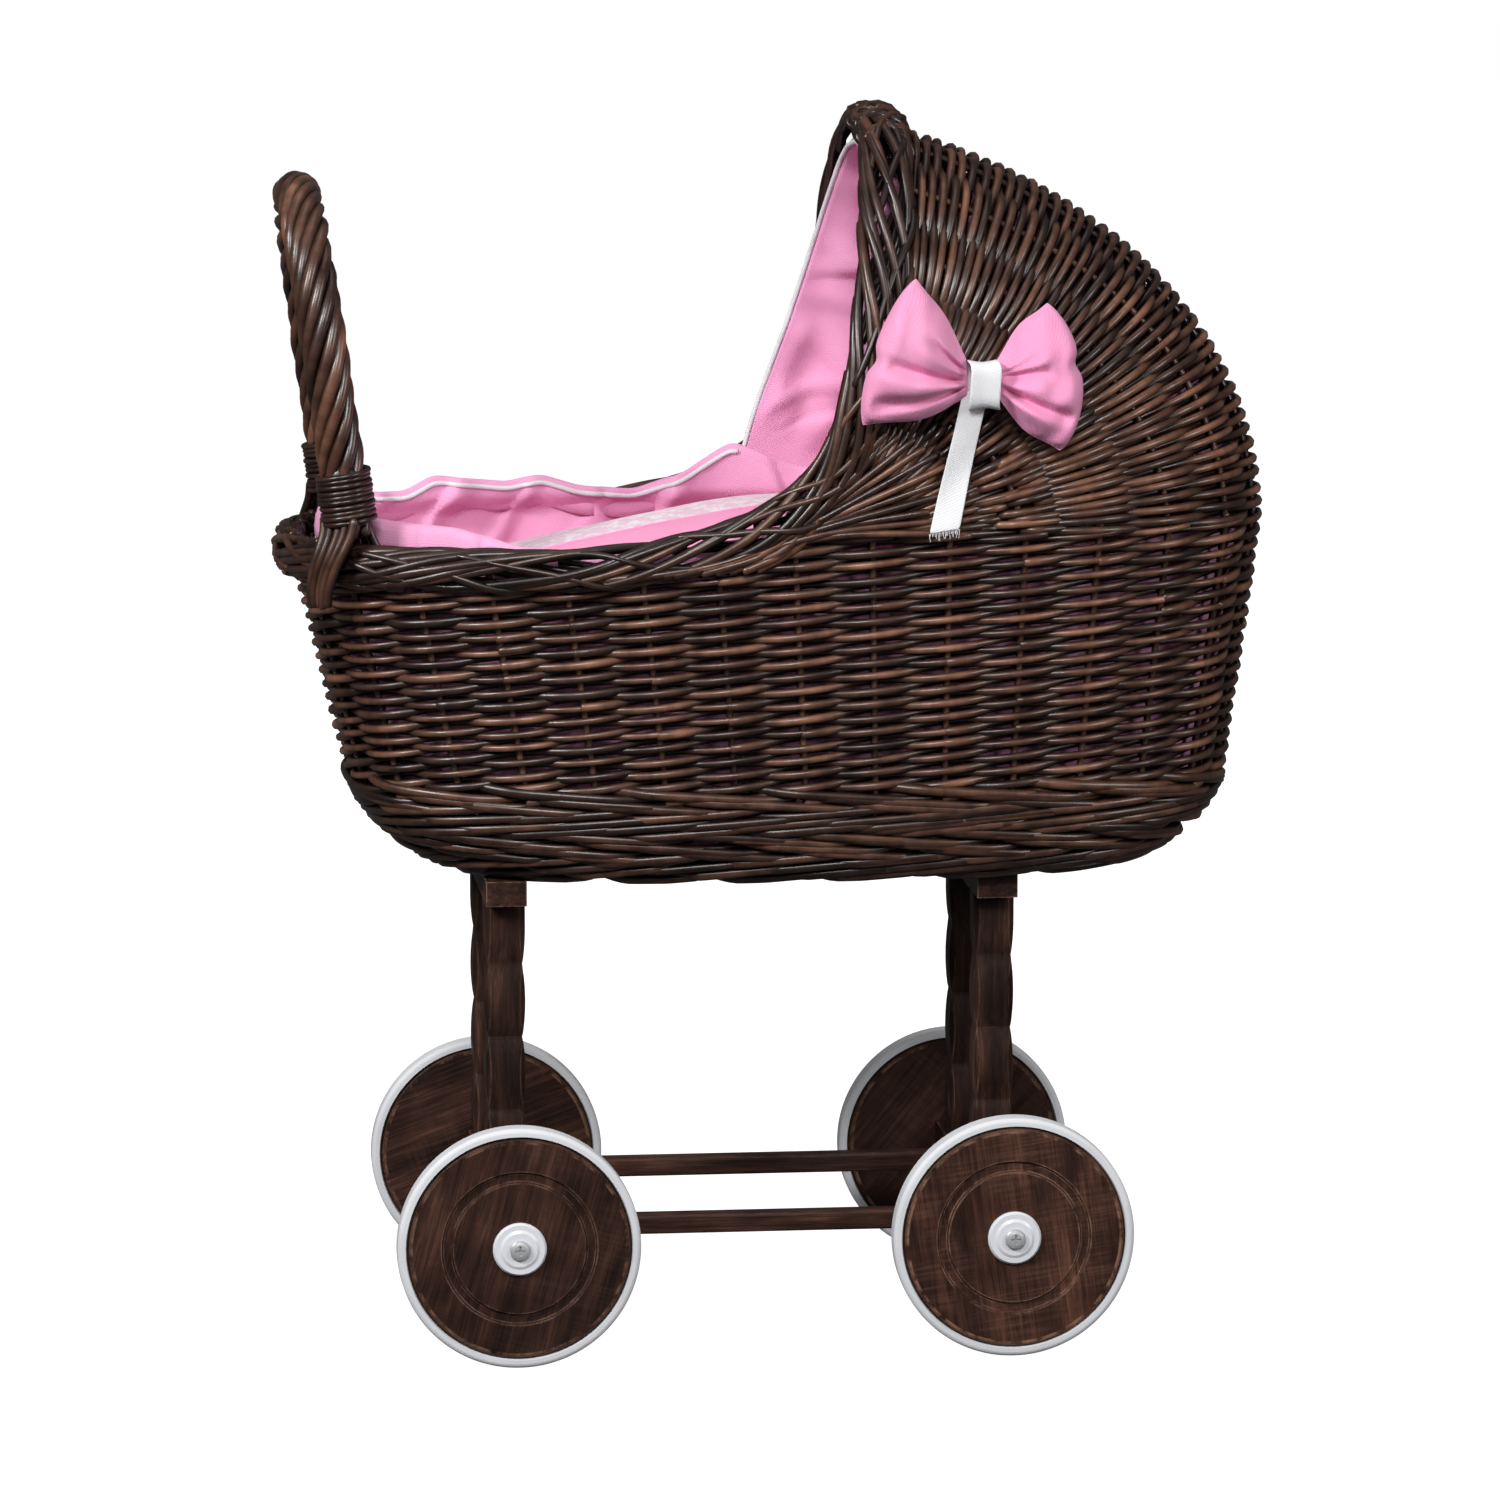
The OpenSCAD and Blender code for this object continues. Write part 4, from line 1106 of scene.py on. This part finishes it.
def piping(hood_edge):
    """White cord sewn along the lining's edge: up one side of the hood, down the other and round the foot."""
    rods = Rods()
    s = np.linspace(STAKES / 2, STAKES, 420)
    x = wall(s, PIVOT_Z)[:, 0]
    keep = x < -0.004
    s = s[keep]
    top = liner_rise(*wall(s, PIVOT_Z)[:, :2].T) - 0.0024
    rim = liner_points(s, top, np.full(len(s), 0.985))
    inward = -surface_normal(wall, s, top)
    rim = rim + inward * 0.0012
    order = hood_edge[np.argsort(hood_edge[:, 1])]
    rods.add(rim, PIPING_R, inward, wear=0)
    lift = unit(order - np.array([0.1, 0, 0.45])) * 0.0002
    rods.add(order + lift + np.array([-0.0012, 0, 0.0006]), PIPING_R, np.array([-1.0, 0, 0.3]), wear=0)
    return rods.build("lining_piping", WHITE_COTTON)


# ---------------------------------------------------------------- bedding
def cushion_points(centre, half, n_plan, n_edge, top=None):
    """Rows of points of a closed pillow form with a superellipse plan, as a starting shape for padding."""
    a = np.radians(np.linspace(-84, 84, 26))
    u = np.linspace(0, 2 * np.pi, 96, endpoint=False)
    q = np.maximum(power(np.cos(a), 2 / n_edge), 0)[:, None]
    h = power(np.sin(a), 2 / n_edge)[:, None]
    x = half[0] * q * power(np.cos(u), 2 / n_plan)[None]
    y = half[1] * q * power(np.sin(u), 2 / n_plan)[None]
    z = half[2] * h + 0 * x
    if top is not None:
        z = np.where(z > 0, z * top(x / half[0], y / half[1]), z)
    return np.stack([x, y, z], -1) + np.array(centre)


def simulate(obj, pressure, cap):
    """Swells a padded piece with Cloth, limits how far each point goes, and keeps the result as its mesh."""
    frames = 20
    remesh = obj.modifiers.new("remesh", "REMESH")
    remesh.mode = "VOXEL"
    remesh.voxel_size = 0.005
    apply_modifiers(obj)
    rest = np.array([v.co for v in obj.data.vertices])
    cloth = obj.modifiers.new("cloth", "CLOTH")
    cloth.settings.use_pressure = True
    cloth.settings.uniform_pressure_force = pressure
    cloth.settings.effector_weights.gravity = 0
    cloth.settings.shrink_min = -0.03
    scene = bpy.context.scene
    for now in range(1, frames + 1):
        scene.frame_set(now)
    shape = obj.evaluated_get(bpy.context.evaluated_depsgraph_get())
    moved = np.array([v.co for v in shape.data.vertices])
    obj.modifiers.remove(cloth)
    scene.frame_set(1)
    step = moved - rest
    size = np.linalg.norm(step, axis=1, keepdims=True)
    step *= np.minimum(1, cap / np.maximum(size, 1e-9))
    obj.data.vertices.foreach_set("co", (rest + step).astype(np.float32).ravel())
    obj.data.update()


def apply_modifiers(obj):
    """Makes what the modifiers show the object's own mesh."""
    shape = obj.evaluated_get(bpy.context.evaluated_depsgraph_get())
    made = bpy.data.meshes.new_from_object(shape)
    obj.modifiers.clear()
    obj.data = made


def padded_piece(name, points, material, pressure, cap):
    """A cushion swollen up to cap metres, and smoothed."""
    obj = grid_mesh(name, points, material, close_u=True, caps=True, levels=0)
    simulate(obj, pressure, cap)
    obj.data.shade_smooth()
    sub = obj.modifiers.new("smooth", "SUBSURF")
    sub.levels = sub.render_levels = 1
    return obj


def panel_seam(duvet):
    """The raised seam round the duvet's printed panel, laid on the swollen duvet from above."""
    skin = BVHTree.FromObject(duvet, bpy.context.evaluated_depsgraph_get())
    (middle_x, half_x), (middle_y, half_y) = PANEL
    line, up = [], []
    for a in np.radians(np.linspace(25, 335, 260)):
        x = middle_x + half_x * power(math.cos(a), 2 / 5)
        y = middle_y + half_y * power(math.sin(a), 2 / 5)
        place, normal = skin.ray_cast(Vector((x, y, 0.6)), Vector((0, 0, -1)))[:2]
        if place is not None and x < 0.070:
            line.append(place + normal * 0.0002)
            up.append(normal)
    rods = Rods()
    seam_r = 0.75 * MM
    rods.add(np.array(line), seam_r, np.array(up), tone=0.5, wear=0)
    rods.build("duvet_seam", PINK_COTTON)


def bedding():
    """Duvet with its panel's seam, pillow and mattress."""
    def duvet_top(x, y):
        """How much of its full height the duvet's upper side has: lower at the foot, with soft dents."""
        rise = 0.72 + 0.46 * smooth((x + 0.8) / 1.7)
        return rise - 0.10 * np.abs(y) ** 3 + 0.035 * np.cos(5.5 * y) * np.cos(4 * x)

    form = cushion_points((-0.050, 0, 0.360), (0.130, 0.089, 0.066), n_plan=3.2, n_edge=2.7, top=duvet_top)
    duvet = padded_piece("duvet_padded", form, DUVET_COTTON, pressure=3.0, cap=0.007)
    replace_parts(duvet, "duvet")
    panel_seam(duvet)
    form = cushion_points((0.140, 0, 0.372), (0.062, 0.078, 0.056), n_plan=3.4, n_edge=2.2)
    pillow = padded_piece("pillow_padded", form, PINK_COTTON, pressure=4.0, cap=0.008)
    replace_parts(pillow, "pillow")
    form = cushion_points((0.006, 0, 0.279), (0.181, 0.079, 0.024), n_plan=3, n_edge=5)
    mattress = padded_piece("mattress_padded", form, WHITE_COTTON, pressure=2.0, cap=0.004)
    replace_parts(mattress, "mattress")


# ---------------------------------------------------------------- bows
BOW_Z = 0.502               # middle of each bow's knot
BOW_X = {"near": 0.098, "far": 0.084}
# Each loop's pinch and tips are its upper and lower corners, and stand is its distance from the hood at both
# ends. A crease runs from one place across the loop to another, with a depth and a reach along the loop.
LOOPS = {
    "foot": {"pinch": ((-0.008, 0.0125), (-0.008, -0.0060)), "tips": ((-0.0350, 0.0540), (-0.0640, -0.0180)),
             "stand": (0.008, 0.017), "pleats": (-0.62, -0.22, 0.45), "belly": 0.0070,
             "creases": ((0.30, 0.16, 0.0062, 0.97), (0.75, 0.78, 0.0052, 0.97))},
    "head": {"pinch": ((0.008, 0.0120), (0.008, -0.0070)), "tips": ((0.0365, 0.0395), (0.0410, -0.0340)),
             "stand": (0.008, 0.011), "pleats": (-0.50, 0.20, 0.80), "belly": 0.0135,
             "creases": ((-0.10, -0.18, 0.0040, 0.70), (0.55, 0.60, 0.0060, 0.95))},
}


def bow_loop(side_name, side, end):
    """One loop of folded cotton, gathered at the knot and fanned to two soft corners."""
    loop = LOOPS[end]
    pinch, tips = np.array(loop["pinch"]), np.array(loop["tips"])
    rows, cols = 60, 72
    a = np.linspace(0, 1, rows)[:, None]
    b = np.sin(np.linspace(-np.pi / 2, np.pi / 2, cols))[None]
    w = (1 - b) / 2
    start = pinch[0] * w[..., None] + pinch[1] * (1 - w[..., None])
    stop = tips[0] * w[..., None] + tips[1] * (1 - w[..., None])
    middle = stop.mean(axis=1, keepdims=True) - start.mean(axis=1, keepdims=True)
    notch = 0.0030 * np.exp(-((b - loop["creases"][0][1]) / 0.13) ** 2)
    bulge = (loop["belly"] * (1 - b ** 2) ** 0.8 - 0.0015 * np.abs(b) ** 6 - notch)[..., None] * unit(middle)
    flat = start + (stop + bulge - start) * a[..., None]
    flat[..., 1] += (0.0040 + 0.0015 * np.sin(5 * a)) * np.sin(np.pi * a) * -b
    open_up = smooth(a * 1.9) ** 0.8
    close = np.sqrt(np.clip(1 - np.clip((a - 0.80) / 0.20, 0, 1) ** 2, 0, 1))
    crown = (1 - np.abs(b) ** 3.2) ** 0.7
    depth = 0.0145 * (0.25 + 0.75 * open_up) * close * crown
    relief = 0 * depth
    for k, place in enumerate(loop["pleats"]):
        line = place * (0.75 + 0.35 * a) + 0.05 * np.sin(4 * a + k)
        width = 0.10 + 0.17 * a
        height = (0.0042, 0.0034, 0.0040)[k] * smooth(a * 7) * (1 - smooth((a - 0.30) / 0.65))
        relief = relief + height * np.exp(-((b - line) / width) ** 2)
    for from_b, to_b, deep, reach in loop["creases"]:
        line = from_b * (1 - a) * 0.6 + to_b * a ** 0.8
        ends = smooth(a * 5) * smooth((reach - a) * 6)
        relief = relief - deep * np.exp(-((b - line) / (0.070 + 0.045 * a)) ** 2) * ends
    line = -0.30 - 0.25 * a
    relief = relief - 0.0030 * np.exp(-((b - line) / 0.10) ** 2) * smooth(a * 6) * smooth((0.62 - a) * 4)
    relief = relief + 0.0010 * np.sin(9 * b + 6 * a) * a * close + 0.0008 * np.sin(17 * a + 5 * b) * a * close
    stand = loop["stand"][0] + (loop["stand"][1] - loop["stand"][0]) * a
    x, z = BOW_X[side_name] + flat[..., 0], BOW_Z + flat[..., 1]
    off = hood_side(np.maximum(x, 0.02), z) + stand
    out = depth + relief * np.minimum(1, depth / 0.004)
    front = np.stack([x, side * (off + np.maximum(out, 0.0005)), z], -1)
    back = np.stack([x, side * (off - 0.35 * depth), z], -1)
    skin = np.concatenate([front, back[:, ::-1]], axis=1)
    obj = grid_mesh(f"bow_{side_name}_{end}_loop", skin, PINK_COTTON, close_u=True, caps=True)
    return obj


def bow_band(side_name, side):
    """White cotton wrapped round the knot."""
    x0 = BOW_X[side_name]
    y0 = hood_side(x0, BOW_Z) + 0.0125
    angle = np.linspace(0, 2 * np.pi, 40, endpoint=False)[None]
    t = np.linspace(-1, 1, 13)[:, None]
    nip = 1 - 0.06 * np.cos(t * 2.4)
    x = x0 + 0.0078 * t + 0.0005 * np.sin(3 * angle)
    y = y0 + 0.0082 * power(np.cos(angle), 0.6) * nip
    z = BOW_Z + 0.0118 * power(np.sin(angle), 0.6) * nip
    points = np.stack([x, side * y, z], -1)
    obj = grid_mesh(f"bow_{side_name}_knot", points, WHITE_COTTON, close_u=True,
                    thickness=0.0010)
    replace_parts(obj, f"bow_band_{side_name}")


def bow_tail(side_name, side):
    """A hanging ribbon with a frayed end."""
    x0 = BOW_X[side_name]
    width, length = 0.0155, 0.074
    top, end = (x0 - 0.0035, BOW_Z - 0.0025), (x0 - 0.0195, BOW_Z - 0.0745)
    t, b = np.linspace(0, 1, 26)[:, None], np.linspace(-1, 1, 9)[None]
    x = top[0] + (end[0] - top[0]) * t + width / 2 * b * (0.88 + 0.12 * t)
    z = top[1] + (end[1] - top[1]) * t + 0.0012 * b
    off = hood_side(x, z) + 0.0040 + 0.0012 * np.sin(7 * t + 0.8 * b) + 0.006 * (1 - t) ** 3
    points = np.stack([x, side * off, z], -1)
    obj = grid_mesh(f"bow_{side_name}_ribbon", points, WHITE_COTTON_PAINTED_LIGHT, thickness=0.0005)
    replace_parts(obj, f"bow_tail_{side_name}")
    fray = Rods()
    threads, thread_r = 22, 0.16 * MM
    for b in np.linspace(0, 1, threads):
        start = points[-1, 0] * (1 - b) + points[-1, -1] * b
        drop = 0.0014 + 0.0034 * rng.random()
        sway = np.array([rng.normal(0, 0.0006), side * rng.normal(0, 0.0004), -drop])
        thread = spline([start, start + sway * 0.5, start + sway], 5)
        fray.add(thread, thread_r, np.array([0, side, 0]), sides=4)
    frayed = fray.build(f"bow_{side_name}_fray", WHITE_COTTON_PAINTED_LIGHT)


# ---------------------------------------------------------------- finishes of the CAD pieces
def finish_cad():
    """Materials for the pieces that keep their CAD shape."""
    leg_wood = wood_material("leg_wood", "z", soften=0.0035, level=0.72)
    beam_wood = wood_material("beam_wood", "y")
    rail_wood = wood_material("rail_wood", "x")
    tyre = plain_material("tyre_white", (0.70, 0.71, 0.735), 0.55)
    hub = plain_material("hub_white", (0.74, 0.75, 0.79), 0.30, coat=0.2)
    zinc = plain_material("zinc", (0.66, 0.67, 0.68), 0.40, metal=0.55, mark=0.8)
    turns = {"foot_near": 1.30, "head_near": 1.72, "foot_far": 0.35, "head_far": 0.90}
    levels = {"foot_near": 0.86, "head_near": 1.30, "foot_far": 1.0, "head_far": 1.0}
    under_tyre = 0.0026         # how far the tyre covers a disc's edge
    for name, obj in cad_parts.items():
        if obj.hide_render:
            continue
        kind = name.split("_")[0]
        if kind == "disc":
            low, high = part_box(name)
            bare_r = (high.x - low.x) / 2 - under_tyre
            rim = ((low.x + high.x) / 2, (low.z + high.z) / 2, bare_r)
            material = wood_material(f"wood_{name}", "x", turns[name[5:]], level=levels[name[5:]],
                                     saw_marks=0.30 if name == "disc_head_near" else 0.12, rim=rim)
        elif kind == "leg":
            material = leg_wood
        elif name.startswith("rail_") and name != "rail_pins":
            material = rail_wood
        elif name.startswith(("axle_beam", "bearer_foot", "bearer_head")):
            material = beam_wood
        elif kind == "tyre":
            material = tyre
        elif kind == "hub":
            material = hub
        else:
            material = zinc
        obj.data.materials.clear()
        obj.data.materials.append(material)


SIDES = (("near", -1), ("far", 1))
camera()
studio()
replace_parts(side_weave(), "basket_wall")
base_rows()
stakes()
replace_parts(base_weave(), "basket_base")
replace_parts(hood_weave(), "hood")
feeders()
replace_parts(borders(), "rim_border", "hood_border")
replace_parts(handle_rope(), "handle_rope")
for side_name, side in SIDES:
    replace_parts(handle_binding(f"handle_lashing_{side_name}", side), f"handle_binding_{side_name}")
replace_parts(basket_lining(), "basket_liner")
hood_cloth, hood_edge = hood_lining()
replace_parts(hood_cloth, "hood_liner")
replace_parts(piping(hood_edge), "liner_piping")
bedding()
for side_name, side in SIDES:
    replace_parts(bow_loop(side_name, side, "foot"), f"bow_{side_name}")
    bow_loop(side_name, side, "head")
    bow_band(side_name, side)
    bow_tail(side_name, side)
finish_cad()
